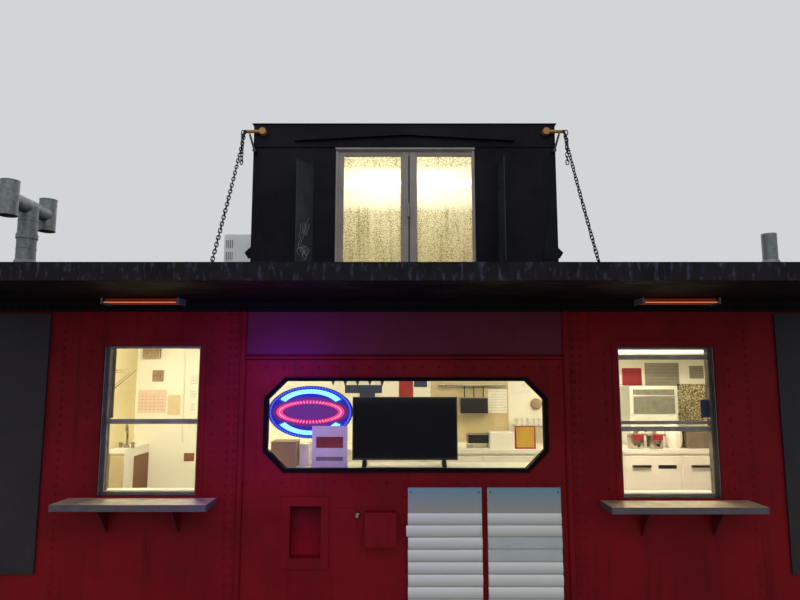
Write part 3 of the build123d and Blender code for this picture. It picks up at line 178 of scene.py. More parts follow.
@dataclass(frozen=True)
class Finish(Surface):
    """A surface whose colour drifts between two tones, with stains, spots, dust, painted light and shade by
    facing, and a fine relief.
    """

    colour: str
    second: str
    drift_mm: float = 300.0
    roughness: float = 0.5
    spread: float = 0.1
    metallic: float = 0.0
    coat: float = 0.0
    grain_mm: float = 3.0
    grain_depth_mm: float = 0.05
    swell_mm: float = 450.0
    swell_depth_mm: float = 0.0
    stain: Stain | None = None
    spots: str | None = None
    spots_mm: float = 40.0
    spots_share: float = 0.0
    dust_and_top_light: str | None = None
    painted_shade_below: str | None = None
    specular: float = 0.5
    zones: tuple[Zone, ...] = ()

    def wire(self, tree: Tree, shader: Node) -> None:
        """Lays tones, marks, bands, spots, dust and painted light and shade by facing over each other, and
        then the relief.

        Args:
            tree: the material's nodes.
            shader: its main shader.
        """
        place = add_node(tree, "TexCoord").outputs["Object"]
        drift = add_node(tree, "TexNoise", {"Vector": place, "Scale": per_metre(self.drift_mm),
                                            "Detail": 6.0, "Roughness": 0.62}).outputs[0]
        share = add_node(tree, "MapRange", {0: drift, 1: 0.36, 2: 0.66}).outputs[0]
        colour = add_node(tree, "Mix", {0: share, 6: self.colour, 7: self.second},
                          data_type="RGBA").outputs[2]
        if self.stain is not None:
            colour = self._stained(tree, place, colour, self.stain)
        for zone in self.zones:
            colour = self._zoned(tree, place, drift, colour, zone)
        if self.spots is not None:
            colour = self._spotted(tree, place, colour)
        if self.dust_and_top_light is not None:
            colour = self._tint_by_facing(tree, drift, colour, self.dust_and_top_light, *DUST_AND_TOP_LIGHT_FACING)
        # Painted shade: faces that look down are darkened.
        if self.painted_shade_below is not None:
            colour = self._tint_by_facing(tree, drift, colour, self.painted_shade_below, *PAINTED_SHADE_BELOW_FACING)
        gloss = add_node(tree, "MapRange", {0: drift, 1: 0.3, 2: 0.7, 3: self.roughness - self.spread,
                                            4: self.roughness + self.spread}).outputs[0]
        relief = None
        for size, depth, detail in ((self.grain_mm, self.grain_depth_mm, 3.0),
                                    (self.swell_mm, self.swell_depth_mm, 1.0)):
            if depth:
                noise = add_node(tree, "TexNoise", {"Vector": place, "Scale": per_metre(size),
                                                    "Detail": detail}).outputs[0]
                below = {} if relief is None else {"Normal": relief}
                relief = add_node(tree, "Bump", {"Height": noise, "Strength": 1.0, "Distance": depth * MM,
                                                 **below}).outputs[0]
        feed(tree, shader, {"Base Color": colour, "Metallic": self.metallic, "Roughness": gloss,
                            "Specular IOR Level": self.specular, "Coat Weight": self.coat,
                            "Coat Roughness": 0.12, "Normal": relief})

    def _zoned(self, tree: Tree, place: Socket, drift: Socket, colour: Socket, zone: Zone) -> Socket:
        """Paints one band over the colour.

        Args:
            tree: the material's nodes.
            place: the object coordinates.
            drift: the slow noise, which thins the cover.
            colour: the colour so far.
            zone: the band.

        Returns:
            The new colour.
        """
        along, _, height = add_node(tree, "SeparateXYZ", {0: place}).outputs
        away = add_node(tree, "Math", {0: along}, operation="ABSOLUTE").outputs[0]
        factor = add_node(tree, "MapRange", {0: drift, 1: 0.3, 2: 0.7, 3: zone.cover,
                                             4: zone.cover ** 2}).outputs[0]
        for value, limit, test in ((height, zone.low, "GREATER_THAN"), (height, zone.high, "LESS_THAN"),
                                   (away, zone.half, "LESS_THAN")):
            within = add_node(tree, "Math", {0: value, 1: limit}, operation=test).outputs[0]
            factor = add_node(tree, "Math", {0: factor, 1: within}, operation="MULTIPLY").outputs[0]
        return add_node(tree, "Mix", {0: factor, 6: colour, 7: zone.colour}, data_type="RGBA").outputs[2]

    def _stained(self, tree: Tree, place: Socket, colour: Socket, stain: Stain) -> Socket:
        """Draws upright run-off marks.

        Args:
            tree: the material's nodes.
            place: the object coordinates.
            colour: the colour so far.
            stain: the marks.

        Returns:
            The new colour.
        """
        across, down = per_metre(stain.width_mm), per_metre(stain.length_mm)
        drawn = add_node(tree, "Mapping", {0: place, 3: (across, across, down)}).outputs[0]
        marks = add_node(tree, "TexNoise", {"Vector": drawn, "Scale": 1.0, "Detail": 3.0,
                                            "Roughness": 0.7}).outputs[0]
        edge = 0.72 - 0.45 * stain.share
        factor = add_node(tree, "MapRange", {0: marks, 1: edge, 2: edge + 0.2, 4: 0.75}).outputs[0]
        return add_node(tree, "Mix", {0: factor, 6: colour, 7: stain.colour}, data_type="RGBA").outputs[2]

    def _spotted(self, tree: Tree, place: Socket, colour: Socket) -> Socket:
        """Breaks the surface up with rust or chips.

        Args:
            tree: the material's nodes.
            place: the object coordinates.
            colour: the colour so far.

        Returns:
            The new colour.
        """
        patches = add_node(tree, "TexNoise", {"Vector": place, "Scale": per_metre(self.spots_mm),
                                              "Detail": 8.0, "Roughness": 0.7}).outputs[0]
        edge = 0.75 - 0.45 * self.spots_share
        factor = add_node(tree, "MapRange", {0: patches, 1: edge, 2: edge + 0.06}).outputs[0]
        return add_node(tree, "Mix", {0: factor, 6: colour, 7: self.spots}, data_type="RGBA").outputs[2]

    def _tint_by_facing(self, tree: Tree, drift: Socket, colour: Socket, tone: str, facing: Pair,
                 cover: float) -> Socket:
        """Tints faces by where they look: dust and painted top light on those that look up, painted shade on
        those that look down.

        Args:
            tree: the material's nodes.
            drift: the slow noise.
            colour: the colour so far.
            tone: the colour laid on.
            facing: how far a face points up where the layer starts, and where it is full.
            cover: how well it covers.

        Returns:
            The new colour.
        """
        normal = add_node(tree, "NewGeometry").outputs["Normal"]
        upward = add_node(tree, "SeparateXYZ", {0: normal}).outputs[2]
        facing_share = add_node(tree, "MapRange", {0: upward, 1: facing[0], 2: facing[1], 4: cover}).outputs[0]
        factor = add_node(tree, "Math", {0: facing_share, 1: drift}, operation="MULTIPLY", use_clamp=True).outputs[0]
        return add_node(tree, "Mix", {0: factor, 6: colour, 7: tone}, data_type="RGBA").outputs[2]


@dataclass(frozen=True)
class Card(Finish):
    """Coated card, printed one plain colour."""

    drift_mm: float = 90.0
    spread: float = 0.05
    grain_mm: float = 2.0
    grain_depth_mm: float = 0.01


@dataclass(frozen=True)
class TreadSteel(Finish):
    """Wheel steel whose tread and flange are rolled bright around one axle."""

    axle_x: float = 0.0
    rim: Pair = (0.405, 0.413)

    def wire(self, tree: Tree, shader: Node) -> None:
        """Builds the rusty steel and polishes what rolls on the rail.

        Args:
            tree: the material's nodes.
            shader: its main shader.
        """
        super().wire(tree, shader)
        place = add_node(tree, "TexCoord").outputs["Object"]
        flat = add_node(tree, "Mapping", {0: place, 1: (-self.axle_x, 0.0, -AXLE_Z),
                                          3: (1.0, 0.0, 1.0)}).outputs[0]
        away = add_node(tree, "VectorMath", {0: flat}, operation="LENGTH").outputs[1]
        worn = add_node(tree, "MapRange", {0: away, 1: self.rim[0], 2: self.rim[1]}).outputs[0]
        rusty = shader.inputs["Base Color"].links[0].from_socket
        colour = add_node(tree, "Mix", {0: worn, 6: rusty, 7: "#8d8b88"}, data_type="RGBA").outputs[2]
        gloss = add_node(tree, "MapRange", {0: worn, 3: 0.75, 4: 0.28}).outputs[0]
        feed(tree, shader, {"Base Color": colour, "Metallic": worn, "Roughness": gloss})


@dataclass(frozen=True)
class Pane(Surface):
    """Thin window glass: what is behind shows through, with a sharp reflection that grows towards grazing."""

    tint: str = "#f4f7f4"
    beaded: bool = False
    bead_mm: float = 6.0

    def wire(self, tree: Tree, shader: Node) -> None:
        """Mixes a clear and a mirror shader, with dull and dark drops between them on a wet pane.

        Args:
            tree: the material's nodes.
            shader: its main shader, which glass has no use for.
        """
        tree.nodes.remove(shader)
        clear = add_node(tree, "BsdfTransparent", {0: self.tint}).outputs[0]
        mirror = add_node(tree, "BsdfGlossy", {"Roughness": 0.03}).outputs[0]
        edge = add_node(tree, "Fresnel", {"IOR": GLASS_IOR}).outputs[0]
        shown = add_node(tree, "MixShader", {0: edge, 1: clear, 2: mirror}).outputs[0]
        if self.beaded:
            place = add_node(tree, "TexCoord").outputs["Object"]
            drops = add_node(tree, "TexNoise", {"Vector": place, "Scale": per_metre(self.bead_mm),
                                                "Detail": 1.0}).outputs[0]
            dull = add_node(tree, "BsdfTransparent", {0: "#d2c6a2"}).outputs[0]
            dark = add_node(tree, "BsdfTransparent", {0: "#b3a782"}).outputs[0]
            open_part = add_node(tree, "MapRange", {0: drops, 1: 0.52, 2: 0.60}).outputs[0]
            dark_part = add_node(tree, "MapRange", {0: drops, 1: 0.47, 2: 0.41}).outputs[0]
            film = add_node(tree, "MixShader", {0: dark_part, 1: dull, 2: dark}).outputs[0]
            shown = add_node(tree, "MixShader", {0: open_part, 1: film, 2: shown}).outputs[0]
        feed(tree, tree.nodes["Material Output"], {"Surface": shown})


@dataclass(frozen=True)
class FoggedGlass(Surface):
    """Glass misted on the inside: fine drops scatter the light behind it, in runs; a band at the lamps' height
    is painted bright as painted light and holds no drops, and below it the mist is painted darker towards its
    foot as painted shade.
    """

    drop_mm: float = 6.5
    run_mm: float = 34.0
    # heights between which the mist is painted bright as painted light from the lamps behind, and over which
    # it changes
    lit_band: Pair = (3.735, 3.915)
    blend: float = 0.045
    # from this height up to the bright band the mist is painted lighter, and darker below as painted shade
    foot: float = 3.27

    def wire(self, tree: Tree, shader: Node) -> None:
        """Gathers the drops, tints them by height with painted light and shade, and lets their light through
        once.

        Args:
            tree: the material's nodes.
            shader: its main shader, which glass has no use for.
        """
        tree.nodes.remove(shader)
        place = add_node(tree, "TexCoord").outputs["Object"]
        height = add_node(tree, "SeparateXYZ", {0: place}).outputs[2]
        drops = add_node(tree, "TexNoise", {"Vector": place, "Scale": per_metre(self.drop_mm), "Detail": 1.0,
                                            "Roughness": 0.7}).outputs[0]
        across, down = per_metre(self.run_mm), per_metre(self.run_mm * 14)
        runs = add_node(tree, "Mapping", {0: place, 3: (across, across, down)}).outputs[0]
        paths = add_node(tree, "TexNoise", {"Vector": runs, "Scale": 1.0, "Detail": 2.0}).outputs[0]
        low, high = self.lit_band
        rise = add_node(tree, "MapRange", {0: height, 1: low - 2 * self.blend, 2: low}).outputs[0]
        fall = add_node(tree, "MapRange", {0: height, 1: high, 2: high + self.blend}).outputs[0]
        lit_band = add_node(tree, "Math", {0: rise, 1: fall}, operation="SUBTRACT").outputs[0]
        # A run lets more drops gather along it; the band painted bright holds none.
        edge = add_node(tree, "Math", {0: paths, 1: 0.28, 2: drops}, operation="MULTIPLY_ADD").outputs[0]
        edge = add_node(tree, "Math", {0: lit_band, 1: -0.3, 2: edge}, operation="MULTIPLY_ADD").outputs[0]
        specks = add_node(tree, "MapRange", {0: edge, 1: 0.60, 2: 0.76}).outputs[0]
        # Painted shade: the mist darkens from the bright band down to its foot.
        down = add_node(tree, "MapRange", {0: height, 1: self.foot, 2: low}).outputs[0]
        tone = add_node(tree, "Mix", {0: down, 6: "#d0cec2", 7: "#e0dfda"}, data_type="RGBA").outputs[2]
        # Painted light: the band at the lamps' height takes a bright tint.
        for share, colour in ((lit_band, "#f4f4fa"), (specks, "#918d66")):
            tone = add_node(tree, "Mix", {0: share, 6: tone, 7: colour}, data_type="RGBA").outputs[2]
        mist = add_node(tree, "BsdfTranslucent", {0: tone}).outputs[0]
        clear = add_node(tree, "BsdfTransparent", {0: "#f4efd8"}).outputs[0]
        streak = add_node(tree, "MapRange", {0: paths, 1: 0.60, 2: 0.72, 3: 0.02, 4: 0.10}).outputs[0]
        inner = add_node(tree, "MixShader", {0: streak, 1: mist, 2: clear}).outputs[0]
        mirror = add_node(tree, "BsdfGlossy", {"Roughness": 0.06}).outputs[0]
        edge = add_node(tree, "Fresnel", {"IOR": GLASS_IOR}).outputs[0]
        outer = add_node(tree, "MixShader", {0: edge, 1: inner, 2: mirror}).outputs[0]
        # The far face of the slab lets the light pass, so that it is scattered only once.
        behind = add_node(tree, "NewGeometry").outputs["Backfacing"]
        shown = add_node(tree, "MixShader", {0: behind, 1: outer, 2: clear}).outputs[0]
        feed(tree, tree.nodes["Material Output"], {"Surface": shown})


@dataclass(frozen=True)
class Glow(Surface):
    """A surface that gives light: a lamp, and on the sign a painted glow."""

    colour: str
    strength: float

    def wire(self, tree: Tree, shader: Node) -> None:
        """Sets the colour and the light."""
        feed(tree, shader, {"Base Color": self.colour, "Emission Color": self.colour,
                            "Emission Strength": self.strength})


@dataclass(frozen=True)
class Fade(Surface):
    """A board whose colour runs from one tone at the top to another at the bottom, once or on every strip:
    print on the headers, painted light and shade on the strips and in the recess.
    """

    top: str
    bottom: str
    high: float
    low: float
    roughness: float = 0.35
    # how far the fade wavers, in metres, and whether it starts again below its foot
    waver: float = 0.03
    repeats: bool = False
    specular: float = 0.5
    cloud_mm: float = 60.0

    def wire(self, tree: Tree, shader: Node) -> None:
        """Maps the height, shifted by slow noise, to the two tones.

        Args:
            tree: the material's nodes.
            shader: its main shader.
        """
        place = add_node(tree, "TexCoord").outputs["Object"]
        height = add_node(tree, "SeparateXYZ", {0: place}).outputs[2]
        cloud = add_node(tree, "TexNoise", {"Vector": place, "Scale": per_metre(self.cloud_mm)}).outputs[0]
        lifted = add_node(tree, "Math", {0: cloud, 1: self.waver, 2: height},
                          operation="MULTIPLY_ADD").outputs[0]
        low, high = self.low + self.waver / 2, self.high + self.waver / 2
        if self.repeats:
            lifted = add_node(tree, "Math", {0: lifted, 1: high, 2: low}, operation="WRAP").outputs[0]
        share = add_node(tree, "MapRange", {0: lifted, 1: low, 2: high}).outputs[0]
        colour = add_node(tree, "Mix", {0: share, 6: self.bottom, 7: self.top}, data_type="RGBA").outputs[2]
        feed(tree, shader, {"Base Color": colour, "Roughness": self.roughness,
                            "Specular IOR Level": self.specular})


class Paint(Enum):
    """Every finish on the car."""

    # Alkyd enamel, brushed over rolled steel: low sheen, with shallow dents in the sheets and dark run-off;
    # faces that look down are darkened as painted shade.
    RED = Finish("red_enamel", "#790814", "#650610", 500, grain_mm=5, grain_depth_mm=0.06,
                 swell_depth_mm=5.0, stain=Stain("#41060a", 60, 900, 0.35), spots="#8a2426", spots_mm=30,
                 spots_share=0.02, painted_shade_below="#14060a", specular=0.11,
                 # Bands: black under the eaves, and over the picture window a faded pink-grey with the sign's
                 # violet glow painted in.
                 zones=(Zone(2.991, 3.3, 9.0, "#0b080b"), Zone(2.719, 2.991, 1.0, "#542434", 0.85)))
    # The far side: the same enamel and black eaves band, without the faded panel and its painted violet glow.
    RED_FAR = replace(RED, name="red_enamel_far", zones=RED.zones[:1])
    # The same enamel where no band is painted on it.
    RED_PLAIN = Finish("red_enamel_plain", "#6c0a10", "#5c070c", 400, grain_mm=5,
                       grain_depth_mm=0.06, stain=Stain("#41060a", 60, 700, 0.3), specular=0.11)
    # Black roof enamel, sprayed and weathered to a dull sheen, with thin pale washes down the sheets.
    BLACK = Finish("black_enamel", "#0e0e18", "#090911", 350, 0.55, 0.12, grain_mm=4,
                   swell_depth_mm=5.0, stain=Stain("#17181f", 45, 800, 0.3), spots="#35363c", spots_mm=14,
                   spots_share=0.02, dust_and_top_light="#26262a", specular=0.1)
    # Painted shadow under the lap of the top sheets: a near-black strip.
    LAP_SHADOW = Finish("painted_lap_shadow", "#040406", "#060608", 200, 0.7, grain_mm=4, specular=0.05)
    # Painted sheet with lime run-off: upright pale tear marks on a dull dark ground, with the faces that look
    # down painted near black as painted shade.
    WEATHERED = Finish("lime_streaked_enamel", "#1a1921", "#131218", 200, 0.6, grain_mm=6, grain_depth_mm=0.1,
                       stain=Stain("#474a5c", 30, 90, 0.42), spots="#0d0d12", spots_mm=70, spots_share=0.25,
                       dust_and_top_light="#2a2a2c", painted_shade_below="#060408", specular=0.08)
    # Acrylic wind pane, dulled and scratched, on a dark edge.
    VANE = Finish("dulled_acrylic", "#303336", "#25272b", 120, 0.35, grain_mm=4,
                  stain=Stain("#34363a", 20, 300, 0.4), specular=0.15)
    # Safety-yellow enamel, brushed on castings: glossy, chipped to brown steel; the braces below the arms are
    # painted near black as painted shade.
    YELLOW = Finish("yellow_enamel", "#a9792c", "#8f6422", 60, 0.45, coat=0.1, grain_mm=4, grain_depth_mm=0.1,
                    spots="#4e3018", spots_mm=16, spots_share=0.3, zones=(Zone(3.95, 4.158, 9.0, "#1c1412"),))
    # Welded steel chain: zinc gone dull brown-grey, with rust in the crowns.
    CHAIN = Finish("welded_chain", "#26221f", "#191614", 20, 0.55, 0.15, 0.7, grain_depth_mm=0.15,
                   spots="#3c2a1e", spots_mm=12, spots_share=0.3)
    # Mill-finish aluminium extrusion: fine drawn lines, softly oxidised.
    ALUMINIUM = Finish("mill_aluminium", "#8f8b86", "#7b7772", 80, 0.45, 0.1, 0.5, grain_mm=2,
                       grain_depth_mm=0.03, stain=Stain("#6d6a66", 8, 200, 0.2))
    # Inside of the window reveal: the same section, painted a dark brown-grey as painted shade in the opening.
    REVEAL_SHADE = Finish("reveal_painted_shade", "#2e2628", "#241d1f", 60, 0.6, specular=0.1)
    # Taupe powder coat on the cupola sashes: even satin with a fine orange peel.
    TAUPE = Finish("taupe_powder_coat", "#857d77", "#79716b", 120, 0.5, 0.08,
                   stain=Stain("#655e59", 20, 250, 0.25))
    # Pale grey enamel on folded shelf sheet: its tops painted a pale warm tone as painted light from the
    # windows, its undersides darker as painted shade, and its brackets a dark red, darker than the wall as
    # painted shade under the shelf.
    SHELF = Finish("shelf_enamel", "#565057", "#48434a", 90, 0.4, 0.12, 0.1, grain_mm=6,
                   stain=Stain("#3d393c", 25, 60, 0.3), spots="#38343a", spots_mm=25, spots_share=0.2,
                   dust_and_top_light="#ead2a6", painted_shade_below="#140a0c", zones=(Zone(1.5, 1.7865, 9.0, "#5a0810"),))
    # Black EPDM rubber, extruded: nearly matt, a little bloom.
    RUBBER = Finish("epdm_rubber", "#08080a", "#0c0c0f", 70, 0.7, specular=0.08)
    # Hot-dip galvanised pipe: spangled grey with brown rust runs.
    ZINC = Finish("galvanised_pipe", "#7a8280", "#666d6c", 35, 0.5, 0.12, 0.5, grain_mm=6,
                  grain_depth_mm=0.08, stain=Stain("#5d4a38", 30, 160, 0.4), spots="#4f4034", spots_mm=60,
                  spots_share=0.22)
    # White appliance enamel, gone slightly grey outdoors.
    WHITE_ENAMEL = Finish("white_appliance_enamel", "#e6e8e8", "#d6d9d9", 200, 0.42, 0.08, grain_mm=4,
                          grain_depth_mm=0.04, stain=Stain("#9b9e9e", 20, 200, 0.25), dust_and_top_light="#8f8f8c")
    # Wall lining panels: cream-white plastic laminate, moulded smooth.
    LINING = Finish("cream_laminate", "#f6f1e0", "#efe8d3", 700, 0.45, 0.06, grain_depth_mm=0.02)
    # White melamine cabinet fronts: flat, satin.
    MELAMINE = Finish("white_melamine", "#f1ecdf", "#e8e1d1", 400, 0.35, 0.06, grain_depth_mm=0.01)
    # Brushed stainless worktops and warmers.
    STAINLESS = Finish("brushed_stainless", "#b9b3a6", "#a39c8e", 60, 0.3, 0.08, 1.0, grain_mm=2,
                       grain_depth_mm=0.02)
    # Kraft board and beige moulded covers.
    BEIGE = Finish("beige_moulding", "#a58c69", "#977d5c", 80, 0.6, 0.08, grain_depth_mm=0.03)
    # Coated card in plain colours, and beige board.
    CARD_RED = Card("red_card", "#a3262a", "#8f1f25", roughness=0.4)
    CARD_GREY = Card("grey_card", "#938b78", "#878070")
    CARD_WHITE = Card("white_card", "#f1ecdf", "#e7e1d1")
    CARD_NAVY = Card("navy_card", "#2b3358", "#242a4a", roughness=0.4)
    CARD_YELLOW = Card("yellow_card", "#c9a23c", "#bb9332", roughness=0.4)
    CARD_PINK = Card("pink_card", "#ecd2bd", "#e4c6b0")
    CARD_KRAFT = Card("kraft_card", "#8c5b3f", "#6f4630", 30, 0.6,
                        spots="#c9a184", spots_mm=9, spots_share=0.35)
    CARD_INK = Card("ink_rule", "#4a4640", "#3d3a36", roughness=0.6)
    CARD_ROUND = Card("beige_card", "#e3cda6", "#d8c096")
    # Painted board of the partition, yellowed.
    PARTITION = Finish("yellowed_partition", "#ede0b2", "#e2d4a2", 500, 0.5, 0.06, grain_depth_mm=0.02)
    # Brown-grey powder coat on a folded cabinet.
    UMBER = Finish("umber_cabinet", "#786d58", "#675c49", 120, 0.45, 0.08, grain_depth_mm=0.03)
    # Opal strip lamp over the far counter.
    STRIP_LAMP = Glow("strip_lamp", "#fffbe6", 0.95)
    # Tan hardboard panel, sealed.
    TAN_BOARD = Finish("tan_hardboard", "#d0be96", "#c3b086", 300, 0.55, 0.08, grain_depth_mm=0.02,
                       stain=Stain("#b09a6c", 90, 400, 0.25))
    # Smoked oven glass.
    OVEN_GLASS = Finish("oven_glass", "#8c8975", "#726f60", 60, 0.12, 0.04, coat=0.6, grain_mm=6,
                        grain_depth_mm=0.02, spots="#d9dac4", spots_mm=9, spots_share=0.3)
    # Black ABS, moulded: screen surround and sign back.
    ABS = Finish("black_abs", "#0e0d11", "#141318", 60, 0.35, 0.08, grain_mm=2, grain_depth_mm=0.03)
    # The screen itself: black glass over the panel, switched off.
    SCREEN = Finish("screen_glass", "#080312", "#0b0518", 300, 0.3, 0.05, grain_mm=40, grain_depth_mm=0.01,
                    specular=0.05)
    # Matt black board film on a panel, wiped many times.
    BOARD_BLACK = Finish("black_board_film", "#221e21", "#2c272b", 160, 0.55, grain_mm=4, grain_depth_mm=0.03,
                         stain=Stain("#39353a", 60, 180, 0.2), specular=0.25)
    # White polystyrene strips, rolled: each is painted bright at its upper edge as painted highlight and grey
    # where it turns under as painted shade.
    STRIP = Fade("white_strip_painted_light", "#e4e6e0", "#a2a49d", 1.750, 1.678, 0.4, 0.003, True)
    STRIP_BLANK = Finish("grey_strip", "#b5bdbb", "#abb3b0", 200, 0.45, 0.06, grain_depth_mm=0.02)
    # The back of the recessed box: the same red, darkened towards its top as painted shadow under the box's
    # head.
    RED_PAINTED_SHADOW = Fade("red_enamel_painted_shadow", "#42050f", "#880a1b", 1.80, 1.49, 0.6, 0.16, specular=0.08)
    # Cast steel of the trucks: sand-rough, dusty brown over black.
    CAST = Finish("sand_cast_steel", "#2c2622", "#3b3028", 120, 0.75, grain_mm=5, grain_depth_mm=0.5,
                  spots="#56402f", spots_mm=70, spots_share=0.4, dust_and_top_light="#6b6055")
    # Spring steel: wound bar with brown scale.
    SPRING = Finish("wound_spring_bar", "#33291f", "#241d18", 40, 0.6, 0.1, 0.3, grain_depth_mm=0.15,
                    spots="#64432c", spots_mm=20, spots_share=0.35)
    # Black chassis paint over plate: dusty matt with rust at the edges.
    CHASSIS = Finish("chassis_black", "#17171a", "#202024", 250, 0.62, grain_mm=5, grain_depth_mm=0.15,
                     spots="#4a3426", spots_mm=60, spots_share=0.14, dust_and_top_light="#5e574e")
    # Deck plate: worn non-slip paint with bare tracks.
    DECK = Finish("deck_plate", "#2a2a2b", "#39393a", 200, 0.7, grain_depth_mm=0.5,
                  spots="#5b5650", spots_mm=80, spots_share=0.25, dust_and_top_light="#6e6961")
    # Radiant lamp shade: thin steel browned by heat.
    LAMP_STEEL = Finish("lamp_steel", "#5b3a2a", "#3f2a22", 40, 0.45, 0.1, 0.6, grain_mm=4)
    # Polyethylene film, crumpled.
    FILM = Finish("crumpled_film", "#8d9092", "#6d7072", 12, 0.3, grain_mm=6, grain_depth_mm=2.5)
    CLEAR = Pane("window_glass")
    WET = Pane("wet_window_glass", beaded=True)
    FOGGED = FoggedGlass("misted_glass")
    # Fluorescent diffusers: opal acrylic, lit warm.
    DIFFUSER = Glow("opal_diffuser", "#fff3dc", 42.0)
    # Radiant heater: a dull glowing plate with a hotter wire along its foot.
    ELEMENT = Glow("heater_plate", "#6a2412", 0.5)
    HOT_WIRE = Glow("heater_wire", "#e88a58", 0.7)
    BLUE_LED = Glow("blue_led", "#3a62ff", 2.6)
    CYAN_LED = Glow("cyan_led", "#7fd4ff", 2.8)
    # Painted glow: the halo round the blue arcs gives light, though it is no lamp.
    BLUE_HALO = Glow("blue_halo_painted_glow", "#1266f0", 1.3)
    RED_LED = Glow("red_led", "#ff2c50", 2.6)
    PINK_LED = Glow("pink_led", "#ff9ab8", 2.6)
    # Painted glow: the sign's backing gives light, though it is no lamp.
    BLUE_BACK = Glow("blue_backing_painted_glow", "#1c1c9a", 0.55)
    VIOLET_BACK = Glow("violet_backing_painted_glow", "#6a2474", 0.55)
    HEADER = Fade("sky_header", "#6f93a2", "#9a978e", 1.90, 1.77)

    @property
    def material(self) -> bpy.types.Material:
        """The material of this finish."""
        return self.value.make()


LIVERY = {
    Paint.RED: ("front_left", "front_centre", "front_right", "seam_strips"),
    Paint.RED_FAR: ("rear_left", "rear_centre", "rear_right"),
    Paint.RED_PLAIN: ("end_wall_left", "end_wall_right", "end_door_left", "end_door_right"),
    Paint.BLACK: ("roof_left", "roof_right", "cupola_front", "cupola_rear", "cupola_ends", "cupola_roof"),
    Paint.VANE: ("wind_vanes",),
    Paint.WEATHERED: ("awning",),
    Paint.YELLOW: ("chain_brackets", "end_railings"),
    Paint.SHELF: ("serving_shelves",),
    Paint.ALUMINIUM: ("serving_frames", "side_window_frames"),
    Paint.TAUPE: ("cupola_frames",),
    Paint.CLEAR: ("cabin_glass", "door_pane_left", "door_pane_right"),
    Paint.FOGGED: ("cupola_glass",),
    Paint.RUBBER: ("picture_gasket",),
    Paint.STRIP: ("flavour_boards",),
    Paint.BOARD_BLACK: ("menu_boards",),
    Paint.MELAMINE: ("counters",),
    Paint.PARTITION: ("partition",),
    Paint.DIFFUSER: ("ceiling_lights",),
    Paint.ABS: ("television", "light_sign"),
    Paint.ZINC: ("roof_stacks",),
    Paint.WHITE_ENAMEL: ("roof_air_conditioner",),
    Paint.CHASSIS: ("brake_wheel", "steps", "underframe", "underfloor_boxes"),
    Paint.DECK: ("floor_deck",),
    Paint.LAMP_STEEL: ("heat_lamps",),
    Paint.CAST: ("couplers", "side_frames_left", "side_frames_right", "truck_bolster_left",
                 "truck_bolster_right", "brake_beams_left", "brake_beams_right"),
    Paint.SPRING: ("springs_left", "springs_right"),
    Paint.CHAIN: ("awning_chains",),
}


@dataclass(frozen=True)
class Side:
    """A flat face to build on, with its own across, up and out directions."""

    origin: Spot
    across: Spot
    up: Spot
    out: Spot

    def at(self, across: float, up: float, out: float = 0.0) -> Vector:
        """Gives a point from its distances across, up and out of the face."""
        return (Vector(self.origin) + Vector(self.across) * across + Vector(self.up) * up
                + Vector(self.out) * out)

    def ring(self, centre: Pair, radius: float, out: float, count: int) -> list[Vector]:
        """Gives points on a circle that lies some way out of the face."""
        return [self.at(centre[0] + radius * c, centre[1] + radius * s, out) for c, s in circle(count)]


def facing_x(hand: int, x: float) -> Side:
    """Gives an upright face across the car at x, which looks along +X or, if hand is -1, along -X."""
    return Side((x, 0, 0), (0, hand, 0), (0, 0, 1), (hand, 0, 0))


def facing_y(hand: int, origin: Spot) -> Side:
    """Gives an upright face along the car, which looks along +Y or, if hand is -1, along -Y."""
    return Side(origin, (-hand, 0, 0), (0, 0, 1), (0, hand, 0))


def circle(count: int) -> list[Pair]:
    """Gives the cosine and sine of evenly spaced angles of a full turn."""
    return [(math.cos(2 * math.pi * k / count), math.sin(2 * math.pi * k / count)) for k in range(count)]


def band(low: int, high: int, count: int) -> list[Face]:
    """Gives the faces between two rings of points, from the number of each ring's first point."""
    return [(low + k, low + (k + 1) % count, high + (k + 1) % count, high + k) for k in range(count)]


def arch(half: float, eave: float, crown: float, y: float) -> float:
    """Gives the height of an arched roof at a distance y from its middle."""
    rise = crown - eave
    radius = (half * half + rise * rise) / (2 * rise)
    return crown - radius + math.sqrt(radius * radius - y * y)


def arched(heights: Spot, reach: float, low: float, high: float, steps: int) -> list[Pair]:
    """Gives the outline, across and up, of a sheet that is bent like an arched roof.

    Args:
        heights: half the roof's width, and its heights at the eaves and in the middle.
        reach: half the sheet's width.
        low: how far its lower face lies above the roof's arch.
        high: how far its upper face does.
        steps: the number of flats from eave to eave.

    Returns:
        The outline.
    """
    across = [-reach + 2 * reach * i / steps for i in range(steps + 1)]
    return ([(y, arch(*heights, y) + low) for y in across]
            + [(y, arch(*heights, y) + high) for y in reversed(across)])


SERVING = facing_y(-1, (0, -SIDE_Y, 0))
FAR = facing_y(1, (0, SIDE_Y, 0))
# Inside, facing the windows: out comes towards the serving side, from the middle or from the far lining.
INSIDE = facing_y(-1, (0, 0, 0))
WALL = facing_y(-1, (0, 1.366, 0))
ABOVE = Side((0, 0, 0), (1, 0, 0), (0, 1, 0), (0, 0, 1))
# Looking along the car, from its middle.
ALONG = facing_x(1, 0)


